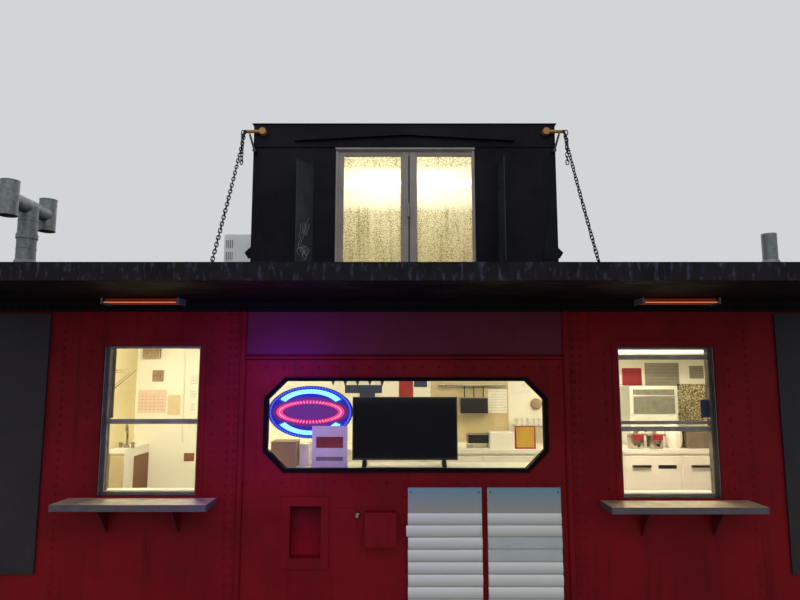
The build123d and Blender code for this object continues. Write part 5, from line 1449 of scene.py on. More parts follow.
# The height of the far counter's top, and the low end of each of its doors.
COUNTER = 1.880
DOORS = (-1.97, -1.42, -0.87, -0.32, 0.23, 0.78, 1.33, 2.15, 2.72)
FITTINGS = (
    Fitting("counter_oven", (Paint.MELAMINE, Paint.OVEN_GLASS, Paint.STAINLESS),
            ((2.297, 2.776, 2.010, 2.488, -1.30, -0.97, 0), (2.31, 2.765, COUNTER, 2.010, -1.28, -0.99, 0),
             (2.325, 2.75, 2.215, 2.372, -0.972, -0.958, 1), (2.325, 2.75, 2.398, 2.458, -0.972, -0.962, 1),
             (2.33, 2.745, 2.384, 2.392, -0.972, -0.942, 2)), 0.006,
            turned=tuple((INSIDE, (x, 2.04), ((0, -0.99), (0.017, -0.99), (0.015, -0.966), (0, -0.964)),
                          16, 2) for x in (2.36, 2.44, 2.52))),
    Fitting("counter_warmers", (Paint.STAINLESS, Paint.CARD_RED, Paint.ABS),
            tuple((x - 0.05, x + 0.05, 1.965, 2.020, -0.799, -0.797, 1) for x in (2.302, 2.492)),
            turned=tuple(part for x in (2.302, 2.492) for part in (
                (ABOVE, (x, 0.88), ((0, COUNTER), (0.072, COUNTER), (0.078, 1.890), (0.078, 2.005),
                                    (0.06, 2.020), (0.02, 2.030), (0.02, 2.045), (0, 2.048)), 28, 0),
                (INSIDE, (x, 1.915), ((0, -0.806), (0.012, -0.806), (0.011, -0.784), (0, -0.782)), 12, 2)))),
    Fitting("counter_jar", Paint.MELAMINE,
            turned=((ABOVE, (2.70, 0.92), ((0, COUNTER), (0.06, COUNTER), (0.075, 1.910), (0.082, 2.000),
                                           (0.07, 2.070), (0.05, 2.095), (0.018, 2.110), (0.012, 2.130),
                                           (0, 2.132)), 28, 0),)),
    Fitting("steel_cabinet", Paint.UMBER,
            ((2.80, 3.26, COUNTER, 2.06, -1.2, -0.86, 0), (2.79, 3.27, 2.055, 2.075, -1.21, -0.85, 0)),
            0.004),
    Fitting("counter_strip_lamp", Paint.STRIP_LAMP, ((2.20, 3.14, 2.822, 2.880, -1.02, -0.985, 0),),
            slot="light_diffuser"),
    Fitting("counter_lamp_housing", Paint.MELAMINE,
            ((2.18, 3.16, 2.880, 2.905, -1.06, -0.96, 0),
             *((x - 0.01, x + 0.01, 2.905, 3.30, -1.02, -1.0, 0) for x in (2.4, 2.94))), 0.002),
    Fitting("cabinet_doors", (Paint.MELAMINE, Paint.ABS, Paint.STAINLESS, Paint.TAN_BOARD),
            ((-2.842, -2.708, 1.25, 1.815, -0.79, -0.772, 3),
             *(block for x in DOORS for block in ((x, x + 0.535, 1.25, 1.815, -0.79, -0.772, 0),
                                                  (x + 0.07, x + 0.25, 1.71, 1.735, -0.772, -0.752, 1),
                                                  (x + 0.32, x + 0.5, 1.698, 1.735, -0.772, -0.7695, 1)))),
            0.003),
    Fitting("kraft_panel", Paint.CARD_KRAFT, ((0.99, 1.355, 1.40, 1.79, -2.6995, -2.696, 0),), side=ALONG),
    # switch, sockets, shelf rail, hanging tools, warmer, round cover and cup shelf
    Fitting("wall_fittings", (Paint.MELAMINE, Paint.BEIGE, Paint.ABS, Paint.STAINLESS),
            ((-2.799, -2.616, 2.783, 2.896, 0.0, 0.05, 1), (-2.76, -2.73, 2.82, 2.84, 0.05, 0.054, 2),
             (-2.699, -2.575, 2.529, 2.654, 0.0, 0.012, 1),
             *((x - 0.008, x + 0.008, 2.57, 2.612, 0.012, 0.018, 2) for x in (-2.668, -2.606)),
             (0.380, 1.112, 2.480, 2.500, 0.0, 0.04, 3), (0.605, 0.900, 2.196, 2.360, 0.02, 0.12, 2),
             (1.169, 1.560, 2.060, 2.075, 0.0, 0.2, 3)), 0.002, WALL,
            ((WALL, (1.430, 2.292), ((0, 0), (0.06, 0), (0.06, 0.02), (0.045, 0.035), (0, 0.037)), 28, 1),
             *((ABOVE, (1.21 + 0.06 * k, 1.25), ((0, 2.075), (0.02, 2.075), (0.027, 2.15), (0, 2.15)), 14, 0)
               for k in range(6))),
            (([(-2.35, 1.346, z) for z in (1.9, 2.4, 2.95, 3.15)], 0.009, 10, 0),
             *(([(x, 1.32, z) for z in (2.485, 2.45, 2.41, 2.36)], 0.006, 8, 2)
               for x in (0.66, 0.76, 0.86)))),
    Fitting("counter_units", (Paint.MELAMINE, Paint.CARD_RED, Paint.CARD_YELLOW, Paint.ABS),
            ((0.852, 1.089, COUNTER, 2.035, -1.05, -0.80, 0),
             (1.094, 1.300, COUNTER, 2.105, -0.82, -0.808, 1),
             (1.112, 1.282, 1.898, 2.087, -0.808, -0.805, 2), (0.546, 0.633, COUNTER, 1.935, -1.1, -0.92, 0),
             (0.646, 0.862, 1.925, 2.01, -1.06, -0.9, 3),
             (0.694, 0.830, COUNTER, 1.925, -1.04, -0.93, 0)), 0.004),
    Fitting("sink_tap", Paint.STAINLESS,
            turned=((ABOVE, (-2.76, 0.95), ((0, COUNTER), (0.03, COUNTER), (0.03, 1.892), (0.014, 1.910),
                                            (0, 1.911)), 20, 0),
                    *((ABOVE, (x, 0.95), ((0, COUNTER), (0.018, COUNTER), (0.014, 1.910), (0.02, 1.915),
                                          (0.02, 1.930), (0, 1.932)), 16, 0) for x in (-2.82, -2.70))),
            bars=(([(-2.76 + 0.3 * reach, 0.95 - reach, COUNTER + lift) for reach, lift in (
                (0.0, 0.0), (0.0, 0.16), (0.02, 0.21), (0.06, 0.225), (0.095, 0.205), (0.1, 0.165))],
                   0.011, 12, 0),)),
    # boxes and a blank stand on the picture window's ledge
    Fitting("ledge_items", (Paint.BEIGE, Paint.MELAMINE, Paint.CARD_WHITE, Paint.CARD_RED, Paint.CARD_GREY),
            ((-0.88, -0.715, 1.990, 2.155, 1.06, 1.22, 0), (-0.70, -0.64, 1.990, 2.13, 1.02, 1.15, 1),
             (-0.590, -0.364, 1.990, 2.268, 1.362, 1.3645, 2),
             (-0.563, -0.391, 2.13, 2.20, 1.3645, 1.3655, 3),
             (-0.563, -0.391, 2.05, 2.075, 1.3645, 1.3655, 4)), 0.0015),
    Fitting("pane_card", Paint.CARD_NAVY, ((1.894, 1.948, 2.322, 2.434, 1.3729, 1.3736, 0),)),
    Fitting("wet_patch", Paint.WET, ((1.751, 1.936, 2.283, 2.534, 1.3722, 1.3727, 0),), slot="clear_glass"),
    Fitting("corner_bracket", Paint.BEIGE,
            bars=(([(-2.80, 0.7, 2.645), (-2.60, 0.7, 2.645), (-2.80, 0.7, 2.47)], 0.005, 8, 0),
                  ([(-2.80, 0.7, 2.625), (-2.66, 0.7, 2.625), (-2.80, 0.7, 2.50)], 0.003, 8, 0))),
    Fitting("window_edge_strip", Paint.BEIGE, ((-1.8995, -1.876, 2.318, 2.772, 1.338, 1.343, 0),), 0.001),
    Fitting("television_screen", Paint.SCREEN, ((-0.338, 0.346, 2.046, 2.436, 1.1745, 1.1765, 0),), 0.0008,
            slot="black_plastic"),
)


@dataclass
class Interior:
    """Lining, blank papers and fitted equipment that show through the windows."""

    half: float = 3.866
    lining_z: Pair = (1.15, 3.186)
    # the two faces of the side lining, out of the wall
    sheet: Pair = (-0.086, -0.082)
    # half the width of each ceiling, its heights at the eaves and in the middle, and its two ends
    ceilings: tuple[tuple[Spot, float, float], ...] = (
        ((1.362, 3.19, 3.416), -3.866, -1.0),
        ((1.362, 3.19, 3.416), 1.0, 3.866),
        ((1.362, 4.24, 4.314), -0.912, 0.912),
    )
    serving_holes: tuple[Box, ...] = ((-1.9065, -1.2915, 1.8485, 2.7775), (1.3485, 1.9635, 1.8345, 2.7695),
                                      (-0.870, 0.886, 2.003, 2.563))
    far_holes: tuple[Box, ...] = ((-2.236, -1.624, 1.916, 2.684), (1.624, 2.196, 1.916, 2.684))
    end_holes: tuple[Box, ...] = ((-1.06, -0.58, 1.96, 2.64), (-0.465, 0.465, 1.17, 3.09),
                                  (0.58, 1.06, 1.96, 2.64))
    # name, low x, high x, low z, high z, finish
    papers: tuple[tuple[str, float, float, float, float, Paint], ...] = (
        ("navy_label", -0.621, -0.223, 2.408, 2.493, Paint.CARD_NAVY),
        ("navy_box", -0.464, -0.297, 2.344, 2.408, Paint.CARD_NAVY),
        ("tan_panel", 0.300, 1.135, 1.905, 2.530, Paint.TAN_BOARD),
        ("red_notice", -0.040, 0.111, 2.355, 2.536, Paint.CARD_RED),
        ("dark_label", 0.122, 0.262, 2.472, 2.536, Paint.CARD_NAVY),
        ("ruled_sheet", 0.918, 1.117, 2.196, 2.451, Paint.CARD_WHITE),
        ("small_sheet_a", 1.156, 1.260, 2.387, 2.525, Paint.CARD_WHITE),
        ("small_sheet_b", 1.275, 1.368, 2.400, 2.510, Paint.CARD_WHITE),
        ("calendar", -2.840, -2.535, 2.196, 2.440, Paint.CARD_PINK),
        ("round_card", -2.520, -2.385, 2.180, 2.387, Paint.CARD_ROUND),
        ("slip_a", -2.290, -2.205, 2.48, 2.60, Paint.CARD_WHITE),
        ("slip_b", -2.290, -2.205, 2.34, 2.45, Paint.CARD_WHITE),
        ("slip_c", -2.290, -2.215, 2.207, 2.31, Paint.CARD_WHITE),
        ("socket_plate", -2.324, -2.215, 1.694, 1.777, Paint.CARD_KRAFT),
        ("red_card", 2.367, 2.577, 2.453, 2.675, Paint.CARD_RED),
        ("grey_sheet", 2.613, 2.981, 2.483, 2.729, Paint.CARD_GREY),
        ("grey_card", 3.094, 3.247, 2.562, 2.700, Paint.CARD_GREY),
    )
    # how far out of the wall a panel's back lies, and a paper's
    panel_out: float = 0.001
    paper_out: float = 0.0055
    # low x, high x, low z, high z, columns and rows of the ruled sheets
    ruled: tuple[tuple[float, float, float, float, int, int], ...] = (
        (-2.840, -2.535, 2.196, 2.410, 7, 6), (0.918, 1.117, 2.196, 2.451, 1, 9),
        (2.613, 2.981, 2.483, 2.729, 2, 7), (3.094, 3.247, 2.562, 2.700, 1, 5),
        (-2.290, -2.205, 2.34, 2.45, 1, 4), (-2.290, -2.205, 2.48, 2.60, 1, 4),
        (-2.290, -2.215, 2.207, 2.31, 1, 4),
    )
    ruling_out: Pair = (0.0085, 0.0091)

    def build(self) -> None:
        """Adds everything inside."""
        self._lining()
        self._papers()
        for fitting in FITTINGS:
            fitting.build()

    def _lining(self) -> None:
        """Lines the walls and ceilings with cream panels."""
        shape = Shape()
        for side, holes in ((SERVING, self.serving_holes), (FAR, self.far_holes)):
            shape.sheet(side, (-self.half, self.half), self.lining_z, self.sheet, holes)
        for roof, low, high in self.ceilings:
            shape.prism(ALONG, arched(roof, roof[0], -0.004, 0.0, 24), low, high)
        for side, middle in ((SERVING, 0.005), (FAR, -0.005)):
            shape.sheet(side, (-0.912, 0.912), (3.2, 4.242), self.sheet,
                        ((middle - 0.457, middle + 0.457, 3.227, 4.073),))
        gable = [(-1.35, 3.180), (1.35, 3.180)]
        gable += [(y, arch(1.362, 3.184, 3.409, y)) for y in (1.35 - 0.09 * i for i in range(31))]
        for hand in HANDS:
            end = facing_x(-hand, hand * 3.87)
            shape.sheet(end, (-1.358, 1.358), (1.16, 3.178), (0.0, 0.0032), self.end_holes)
            shape.prism(end, gable, 0.0, 0.0032)
        shape.build("cabin_lining", Paint.LINING, "white_laminate")

    def _papers(self) -> None:
        """Hangs the blank sheets and cards on the far wall, with rulings and a row of small flags."""
        for name, low, high, bottom, top, paint in self.papers:
            back = self.panel_out if paint is Paint.TAN_BOARD else self.paper_out
            block = (low, high, bottom, top, back, back + 0.003, 0)
            Fitting(f"paper_{name}", paint, (block,), 0.0006, WALL).build()
        lines = Shape()
        for low, high, bottom, top, columns, rows in self.ruled:
            kind = 1 if columns > 2 else 0
            for k in range(1, columns):
                u = low + (high - low) * k / columns
                span = (bottom + 0.01, top - 0.01)
                lines.block(WALL, (u - 0.0008, u + 0.0008), span, self.ruling_out, kind)
            for k in range(1, rows):
                v = bottom + (top - bottom) * k / rows
                lines.block(WALL, (low + 0.012, high - 0.012), (v - 0.001, v + 0.001), self.ruling_out, kind)
        lines.build("paper_rulings", (Paint.CARD_INK, Paint.BEIGE), "white_laminate")
        flags = Shape()
        for k in range(10):
            left = -0.78 + 0.066 * k
            flags.prism(WALL, ((left, 2.56), (left + 0.03, 2.485 - 0.008 * (k % 3)), (left + 0.060, 2.56)),
                        0.0025, 0.0050, k % 2)
        flags.build("paper_flags", (Paint.CARD_NAVY, Paint.CARD_WHITE), "white_laminate")


@dataclass
class HeatLamps:
    """The glowing plates, wires and end brackets of the two lamps under the awning."""

    centres: tuple[float, ...] = (-1.576, 1.644)
    half: float = 0.228
    # y and z of the glowing plate's corners, and where the hot wire runs
    plate: Outline = ((-1.7372, 3.0185), (-1.7345, 3.0183), (-1.7115, 3.0435), (-1.7135, 3.0440))
    wire_y: float = -1.7375
    wire_z: float = 3.0190

    def build(self) -> None:
        """Adds a plate, a wire and end brackets to each lamp."""
        glow, metal = Shape(), Shape()
        half = self.half
        for x in self.centres:
            glow.prism(facing_x(1, x), self.plate, -half + 0.012, half - 0.012)
            glow.block(ABOVE, (x - half + 0.015, x + half - 0.015), (-1.728, -1.622), (3.0168, 3.0178))
            ends = (x - half + 0.014, x, x + half - 0.014)
            glow.tube([Vector((end, self.wire_y, self.wire_z)) for end in ends], 0.0028, 8, kind=1)
            for hand in HANDS:
                for near, far, depth, height in ((half, half + 0.004, (-1.745, -1.606), (3.010, 3.047)),
                                                 (half - 0.008, half, (-1.7425, -1.7385), (3.012, 3.046))):
                    metal.block(ABOVE, (x + hand * near, x + hand * far), depth, height)
        glow.build("heater_elements", (Paint.ELEMENT, Paint.HOT_WIRE), "lamp_housing")
        metal.build("heater_brackets", Paint.ZINC, "lamp_housing", soften=0.0006)


@dataclass
class Springs:
    """Coil springs of the trucks, an outer and an inner coil in each nest."""

    low: float = 0.330
    high: float = 0.520
    turns: float = 4.5
    coil: float = 0.055
    bar: float = 0.0105

    def build(self) -> None:
        """Winds the springs of both trucks in place of the plain columns."""
        for truck, centre in TRUCKS:
            shape = Shape()
            for side in HANDS:
                for dx in (-0.075, 0.075):
                    for radius, bar, hand in ((self.coil, self.bar, 1), (self.coil - 0.026, 0.007, -1)):
                        self._wind(shape, centre + dx, side * 0.99, radius, bar, hand)
            coils = shape.build(f"coil_springs_{truck}", Paint.SPRING, "spring_steel", f"truck_{truck}")
            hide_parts(f"springs_{truck}")

    def _wind(self, shape: Shape, x: float, y: float, radius: float, bar: float, hand: int) -> None:
        """Winds one coil.

        Args:
            shape: where it goes.
            x: its middle along the car.
            y: its middle across.
            radius: the radius of its turns.
            bar: the radius of its wire.
            hand: 1 or -1, which way it winds.
        """
        count = round(self.turns * 14)
        path = []
        for i in range(count + 1):
            share = i / count
            lift = min(max((share - 0.08) / 0.84, 0.0), 1.0)
            angle = hand * 2 * math.pi * self.turns * share
            path.append(Vector((x + radius * math.cos(angle), y + radius * math.sin(angle),
                                self.low + bar + (self.high - self.low - 2 * bar) * lift)))
        shape.tube(path, bar, 8)


@dataclass
class RoofDetails:
    """Riveted ribs over the roof seams, the jack's flashing and the condenser's louvres."""

    first_rib: float = 1.30
    rib_pitch: float = 0.62
    rib_half: float = 0.026
    rib_tall: float = 0.004
    reach: float = 1.486
    # half the roof's width, and its heights at the eaves and in the middle
    roof: Spot = (1.49, 3.190, 3.500)
    jack_x: float = -3.335
    vent_x: float = 3.240
    louvre_x: float = -1.39
    # y and z of the condenser's fan, and the face that its guard stands before
    fan: Pair = (0.70, 3.71)
    fan_x: float = -1.6945

    def build(self) -> None:
        """Adds the ribs and rivets, and then the fittings."""
        for name, hand in ENDS:
            ribs, heads = Shape(), Shape()
            for k in range(6):
                x = hand * (self.first_rib + k * self.rib_pitch)
                ribs.prism(ALONG, arched(self.roof, self.reach, -0.001, self.rib_tall, 30),
                           x - self.rib_half, x + self.rib_half)
                spots = [Vector((x + dx, y, arch(*self.roof, y) + self.rib_tall))
                         for y in (-1.44 + i * 0.08 for i in range(37)) for dx in (-0.014, 0.014)]
                heads.domes(spots, Vector((0, 0, 1)), 0.007, 0.004)
            ribs.build(f"roof_ribs_{name}", Paint.BLACK, "black_paint", smooth_deg=20)
            heads.build(f"roof_rivets_{name}", Paint.BLACK, "black_paint")
        self._stacks()
        self._condenser()

    def _stacks(self) -> None:
        """Adds flashings, rolled rims and a band to the stacks."""
        shape = Shape()
        for x, radius in ((self.jack_x, 0.081), (self.vent_x, 0.063)):
            shape.lathe(ABOVE, (x, 0.0), ((0, 3.501), (radius + 0.09, 3.494), (radius + 0.085, 3.503),
                                          (radius + 0.03, 3.53), (radius + 0.004, 3.60), (radius, 3.602),
                                          (0, 3.602)), 32)
        # rims of the cross head, and bands of the jack: y, z, radius of the ring and of its bar
        for y, z, radius, bar in ((-0.29, 3.931, 0.0745, 0.0035), (-0.29, 4.229, 0.0745, 0.0035),
                                  (0.29, 3.931, 0.0745, 0.0035), (0.29, 4.229, 0.0745, 0.0035),
                                  (0.0, 3.70, 0.0815, 0.0025), (0.0, 3.95, 0.0815, 0.0025)):
            shape.tube(ABOVE.ring((self.jack_x, y), radius, z, 32), bar, 6, True)
        shape.build("stack_trim", Paint.ZINC, "galvanised")

    def _condenser(self) -> None:
        """Adds dark blocks as painted shade in the slots of the condenser's ends, and a wire guard over its
        fan.
        """
        dark, wire = Shape(), Shape()
        # Painted shade: black blocks stand in the open slots and between the louvres.
        for top in (3.862, 3.747, 3.632):
            for u in (-1.665, -1.647, -1.629, -1.611):
                dark.block(SERVING, (u, u + 0.007), (top - 0.08, top), (-1.8005, -1.7992))
        for z in (3.56 + 0.036 * k for k in range(9)):
            dark.block(facing_x(1, self.louvre_x), (0.42, 0.98), (z, z + 0.012), (-0.0005, 0.0012))
        dark.build("condenser_slots", Paint.ABS, "white_enamel")
        for radius in (0.05, 0.085, 0.12, 0.155):
            wire.tube(ALONG.ring(self.fan, radius, self.fan_x, 36), 0.003, 6, True)
        spokes = ALONG.ring(self.fan, 0.165, self.fan_x - 0.004, 12)
        for k in range(6):
            wire.tube([spokes[k + 6], spokes[k]], 0.003, 6)
        wire.build("condenser_guard", Paint.CHASSIS, "white_enamel")


@dataclass
class EndPlatforms:
    """Grab irons, gate chains, air hoses and rivets at both ends."""

    link: Link = Link(0.004, 0.05, 0.03)
    iron_x: float = 3.90
    iron_y: float = 1.458
    iron_z: Pair = (1.26, 2.22)
    gate_x: float = 4.75
    gate_z: Pair = (1.66, 2.06)
    hose_y: float = 0.31
    pipe_z: float = 0.735
    # x and z of the hose and of its coupling
    hose: tuple[Pair, ...] = ((4.60, 0.735), (4.80, 0.735), (4.87, 0.72), (4.93, 0.66), (4.97, 0.56),
                              (5.01, 0.44), (5.06, 0.37), (5.11, 0.345))
    coupling: tuple[Pair, ...] = ((5.10, 0.349), (5.17, 0.333))
    sill_x: float = 4.80

    def build(self) -> None:
        """Adds the fittings of both ends."""
        irons, chains, hoses, heads, stops = Shape(), Shape(), Shape(), Shape(), Shape()
        for hand in HANDS:
            for side in HANDS:
                foot, head = (Vector((hand * self.iron_x, side * self.iron_y, z)) for z in self.iron_z)
                away, bend = Vector((0, side * 0.058, 0)), Vector((0, 0, 0.02))
                irons.tube([foot, foot + away * 0.8, foot + away + bend, head + away - bend,
                            head + away * 0.8, head], 0.010, 10)
                for spot in (foot, head):
                    u, v = spot.x * -side, spot.z
                    irons.block(SERVING if side < 0 else FAR, (u - 0.022, u + 0.022), (v - 0.03, v + 0.03),
                                (0.0, 0.009))
            for level in self.gate_z:
                self._hang(chains, hand * self.gate_x, level)
            for path, radius, kind in ((self.hose, 0.019, 0), (self.coupling, 0.028, 1)):
                hoses.tube([Vector((hand * x, self.hose_y, z)) for x, z in path], radius, 12, kind=kind)
            stops.sheet(facing_x(hand, hand * 3.87), (-0.379, 0.379), (1.19, 3.0615), (0.048, 0.070),
                        ((-0.362, 0.362, 1.20, 3.044),))
            end = facing_x(hand, hand * self.sill_x)
            spots = [spot for z in (1.06, 0.92) for span in ((-1.36, -0.25), (0.25, 1.36))
                     for spot in row(end, *span, z, 0.1)]
            heads.domes(spots, Vector(end.out), 0.012, 0.008)
        pipe = [Vector((x, self.hose_y, self.pipe_z)) for x in (-4.62, -2.0, 2.0, 4.62)]
        hoses.tube(pipe, 0.017, 10, kind=1)
        irons.build("grab_irons", Paint.YELLOW, "yellow_paint")
        stops.build("door_stops", Paint.RED_PLAIN, "red_paint", soften=0.001)
        chains.build("gate_chains", Paint.CHAIN, "chain_steel")
        hoses.build("air_line", (Paint.RUBBER, Paint.CHASSIS), "black_steel")
        heads.build("end_sill_rivets", Paint.CHASSIS, "black_steel")

    def _hang(self, shape: Shape, x: float, level: float) -> None:
        """Hangs one slack chain between the gate posts.

        Args:
            shape: where it goes.
            x: its place along the car.
            level: the height of its ends.
        """
        count, half, sag = 22, 0.318, 0.10
        spots = []
        for i in range(count + 1):
            y = -half + 2 * half * i / count
            spots.append(Vector((x, y, level - sag * (1 - (y / half) ** 2))))
        for i in range(count):
            self.link.add(shape, (spots[i] + spots[i + 1]) / 2, spots[i + 1] - spots[i],
                          0.4 + i * math.pi / 2)


@dataclass
class DoorFittings:
    """Beads round the door windows, and knob and kick plates, which swing with the doors."""

    bead: Box = (-0.235, 0.235, 2.225, 2.895)
    glass: Box = (-0.205, 0.205, 2.255, 2.865)
    knob_u: float = 0.31

    def build(self) -> None:
        """Adds the fittings of both doors."""
        for name, hand in ENDS:
            outer, inner = facing_x(hand, hand * 3.91), facing_x(-hand, hand * 3.87)
            beads, metal = Shape(), Shape()
            for face in (outer, inner):
                beads.sheet(face, self.bead[:2], self.bead[2:], (0.0, 0.006), (self.glass,))
                spots = [spot for v in (2.24, 2.88) for spot in row(face, -0.22, 0.22, v, 0.088, 0.006)]
                beads.domes(spots, Vector(face.out), 0.005, 0.003)
            u = hand * self.knob_u
            metal.block(outer, (u - 0.028, u + 0.028), (1.93, 2.13), (0.0, 0.004))
            metal.block(outer, (-0.25, 0.25), (1.19, 1.27), (0.0, 0.003))
            beads.build(f"door_beads_{name}", Paint.RED_PLAIN, "red_paint", f"door_{name}", soften=0.001)
            metal.build(f"door_plates_{name}", Paint.STAINLESS, "red_paint", f"door_{name}", soften=0.0006)


@dataclass
class Trucks:
    """Bolts, lids, brake hangers and hub rings on both trucks."""

    frame_y: float = 1.035
    lid_y: float = 1.0885
    hub_y: float = 0.81
    # across and up, from the truck's middle, of the bolts on each half of a frame
    bolts: tuple[Pair, ...] = ((0.236, 0.60), (0.236, 0.45), (0.236, 0.335), (0.69, 0.47), (0.915, 0.36),
                               (0.915, 0.57))
    hanger_y: float = 0.70
    # x from the truck's middle and z of a brake hanger, and of the rod between the beams
    hanger: tuple[Pair, ...] = ((0.352, 0.40), (0.30, 0.55), (0.20, 0.60), (0.15, 0.60))
    rod: tuple[Pair, ...] = ((-0.352, 0.625), (0.0, 0.728), (0.352, 0.625))

    def build(self) -> None:
        """Adds the fittings of each truck and each wheelset."""
        for truck, centre in TRUCKS:
            bolts, gear = Shape(), Shape()
            for side in HANDS:
                face = facing_y(side, (centre, side * self.frame_y, 0))
                lid = facing_y(side, (centre, side * self.lid_y, AXLE_Z))
                for hand in HANDS:
                    for u, v in self.bolts:
                        self._bolt(bolts, face, hand * u, v)
                    bolts.lathe(lid, (hand * HALF_WHEELBASE, -0.012),
                                ((0, 0.0), (0.06, 0.0), (0.056, 0.006), (0.03, 0.0105), (0, 0.0115)), 24)
                    gear.tube([Vector((centre + hand * x, side * self.hanger_y, z)) for x, z in self.hanger],
                              0.011, 8)
            gear.tube([Vector((centre + x, 0.0, z)) for x, z in self.rod], 0.01, 8)
            bolts.build(f"truck_bolts_{truck}", Paint.CAST, "cast_steel", f"truck_{truck}", soften=0.001)
            gear.build(f"brake_hangers_{truck}", Paint.CAST, "cast_steel", f"truck_{truck}")
            away = math.copysign(HALF_WHEELBASE, centre)
            for place, axle in (("inner", centre - away), ("outer", centre + away)):
                caps = Shape()
                for side in HANDS:
                    caps.lathe(facing_y(side, (axle, side * self.hub_y, AXLE_Z)), (0, 0),
                               ((0, 0.001), (0.1, 0.001), (0.097, 0.008), (0.08, 0.012), (0, 0.0125)), 32)
                caps.build(f"hub_rings_{truck}_{place}", Paint.CAST, "wheel_steel", f"wheels_{truck}_{place}")

    def _bolt(self, shape: Shape, face: Side, u: float, v: float) -> None:
        """Adds one hexagon bolt head with its washer."""
        shape.lathe(face, (u, v), ((0, 0), (0.021, 0), (0.021, 0.004), (0, 0.0045)), 16)
        shape.lathe(face, (u, v), ((0, 0.004), (0.0155, 0.004), (0.0155, 0.015), (0, 0.0155)), 6)


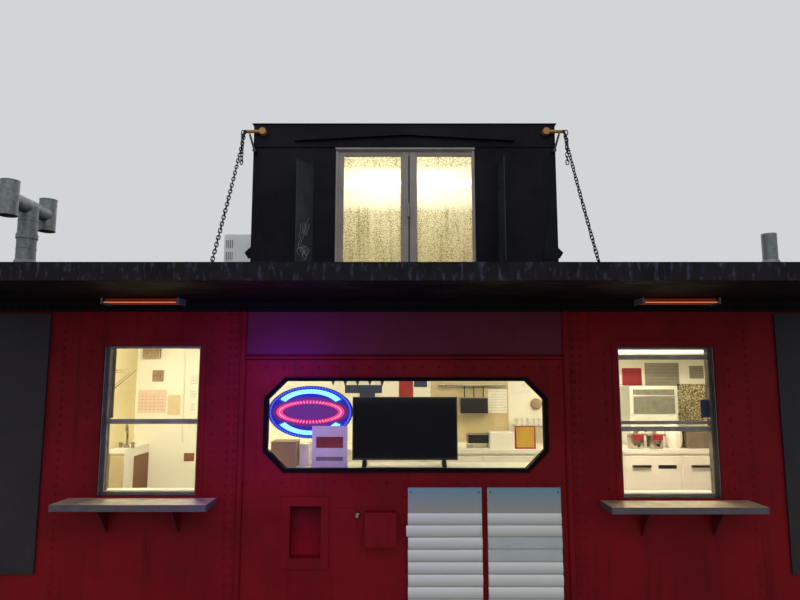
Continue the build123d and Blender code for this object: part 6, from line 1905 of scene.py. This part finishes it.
@dataclass
class Studio:
    """Camera, plain floor, sky and lamps."""

    camera_at: Spot = (-0.029, -5.42, 2.577)
    tilt_up_deg: float = 7.05
    lens_mm: float = 28.08
    sensor_mm: float = 36.0
    sky: str = "#d2d5d8"
    sky_white: str = "#eef1f6"
    sky_light: float = 0.75
    floor_colour: str = "#b9b7b3"
    floor_reach: float = 60.0
    # name, place, rotation in degrees, two sides, power in watts, colour
    outer: tuple[Lamp, ...] = (("sky_panel", (0, -6.5, 9.5), (38, 0, 0), (14, 8), 300, "#f4f6fa"),
                               ("back_panel", (0, 8, 9), (-42, 0, 0), (14, 8), 300, "#f4f6fa"))
    # the same for the lamps that light the cabin and the sign's spill, which the view doesn't show
    inner: tuple[Lamp, ...] = (
        ("sign_spill", (-0.85, -2.0, 2.4), (90, 0, 0), (0.9, 0.9), 6.6, "#7430ff"),
        ("sign_glow", (-0.72, -1.66, 2.68), (80, 0, 0), (0.42, 0.16), 1.3, "#5a20ff"),
        ("sign_pink", (-0.62, -1.80, 2.22), (90, 0, 0), (0.4, 0.2), 0.32, "#ff4c78"),
        ("left_room", (-2.2, -0.1, 3.12), (0, 0, 0), (0.9, 0.5), 28.0, "#fff5e0"),
        ("right_room", (2.2, -0.1, 3.12), (0, 0, 0), (0.9, 0.5), 21.0, "#fff3dc"),
        ("cupola_left", (-0.217, -1.05, 3.93), (-75, 0, 0), (0.16, 0.16), 1.75, "#fcffee"),
        ("cupola_right", (0.240, -1.05, 3.93), (-75, 0, 0), (0.16, 0.16), 1.75, "#fcffee"))

    def build(self) -> None:
        """Sets the view, the light and the floor."""
        data = bpy.data.cameras.new("camera")
        data.lens = self.lens_mm
        data.sensor_width = self.sensor_mm
        camera = bpy.data.objects.new("camera", data)
        camera.location = self.camera_at
        camera.rotation_euler = (math.radians(90 + self.tilt_up_deg), 0, 0)
        bpy.context.scene.collection.objects.link(camera)
        bpy.context.scene.camera = camera
        bpy.context.scene.view_settings.view_transform = "Standard"
        self._world()
        for lamp in self.outer:
            self._lamp(*lamp)
        for lamp in self.inner:
            hung = self._lamp(*lamp)
            hung.visible_glossy = hung.visible_camera = False
        self._floor()

    def _world(self) -> None:
        """Gives the sky its colour where it is seen, and white light elsewhere."""
        world = bpy.data.worlds.new("studio")
        bpy.context.scene.world = world
        world.use_nodes = True
        tree = world.node_tree
        tree.nodes.clear()
        rays = add_node(tree, "LightPath").outputs
        seen = rays["Is Camera Ray"]
        for other in ("Is Glossy Ray", "Is Transmission Ray"):
            seen = add_node(tree, "Math", {0: seen, 1: rays[other]}, operation="MAXIMUM").outputs[0]
        shown = add_node(tree, "Background", {0: self.sky, 1: 1.0}).outputs[0]
        light = add_node(tree, "Background", {0: self.sky_white, 1: self.sky_light}).outputs[0]
        both = add_node(tree, "MixShader", {0: seen, 1: light, 2: shown}).outputs[0]
        add_node(tree, "OutputWorld", {0: both})

    def _lamp(self, name: str, place: Spot, turn_deg: Spot, size: Pair, power: float,
              colour: str) -> bpy.types.Object:
        """Hangs one soft panel lamp.

        Args:
            name: its name.
            place: where it hangs.
            turn_deg: its rotation in degrees.
            size: its two sides.
            power: its power in watts.
            colour: its colour.

        Returns:
            The lamp.
        """
        data = bpy.data.lights.new(name, "AREA")
        data.shape = "RECTANGLE"
        data.size, data.size_y = size
        data.energy = power
        data.color = linear(colour)[:3]
        lamp = bpy.data.objects.new(name, data)
        lamp.location = place
        lamp.rotation_euler = [math.radians(a) for a in turn_deg]
        bpy.context.scene.collection.objects.link(lamp)
        return lamp

    def _floor(self) -> None:
        """Lays the pale floor."""
        mesh = bpy.data.meshes.new("studio_floor")
        reach = self.floor_reach
        corners = [(-reach, -reach, 0), (reach, -reach, 0), (reach, reach, 0), (-reach, reach, 0)]
        mesh.from_pydata(corners, [], [(0, 1, 2, 3)])
        plaster = Finish("studio_plaster", self.floor_colour, self.floor_colour, 900, 0.8, 0.05, grain_mm=20,
                         grain_depth_mm=0.1)
        mesh.materials.append(plaster.make())
        floor = bpy.data.objects.new("studio_floor", mesh)
        bpy.context.scene.collection.objects.link(floor)


def paint_nodes() -> None:
    """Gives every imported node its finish."""
    named = {node: paint for paint, nodes in LIVERY.items() for node in nodes}
    for name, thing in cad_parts.items():
        if name.startswith("wheelset"):
            low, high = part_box(name)
            finish = TreadSteel(f"wheel_steel_{name}", "#3a2d25", "#4b3a2e", 120, 0.75, 0.1, grain_mm=4,
                                grain_depth_mm=0.3, spots="#5f452f", spots_mm=60, spots_share=0.35,
                                axle_x=(low.x + high.x) / 2)
            material = finish.make()
        else:
            material = named[name].material
        thing.data.materials.clear()
        thing.data.materials.append(material)


def main() -> None:
    """Builds the looks in order."""
    logging.basicConfig(level=logging.INFO, format="%(message)s")
    paint_nodes()
    for part in (Studio(), BodyRivets(), AwningChains(), Cupola(), Vanes(), FlavourBoards(), MenuBoards(),
                 LightSign(), Interior(), HeatLamps(), RoofDetails(), EndPlatforms(), DoorFittings(),
                 Trucks(), Springs()):
        part.build()


if __name__ == "__main__":
    main()
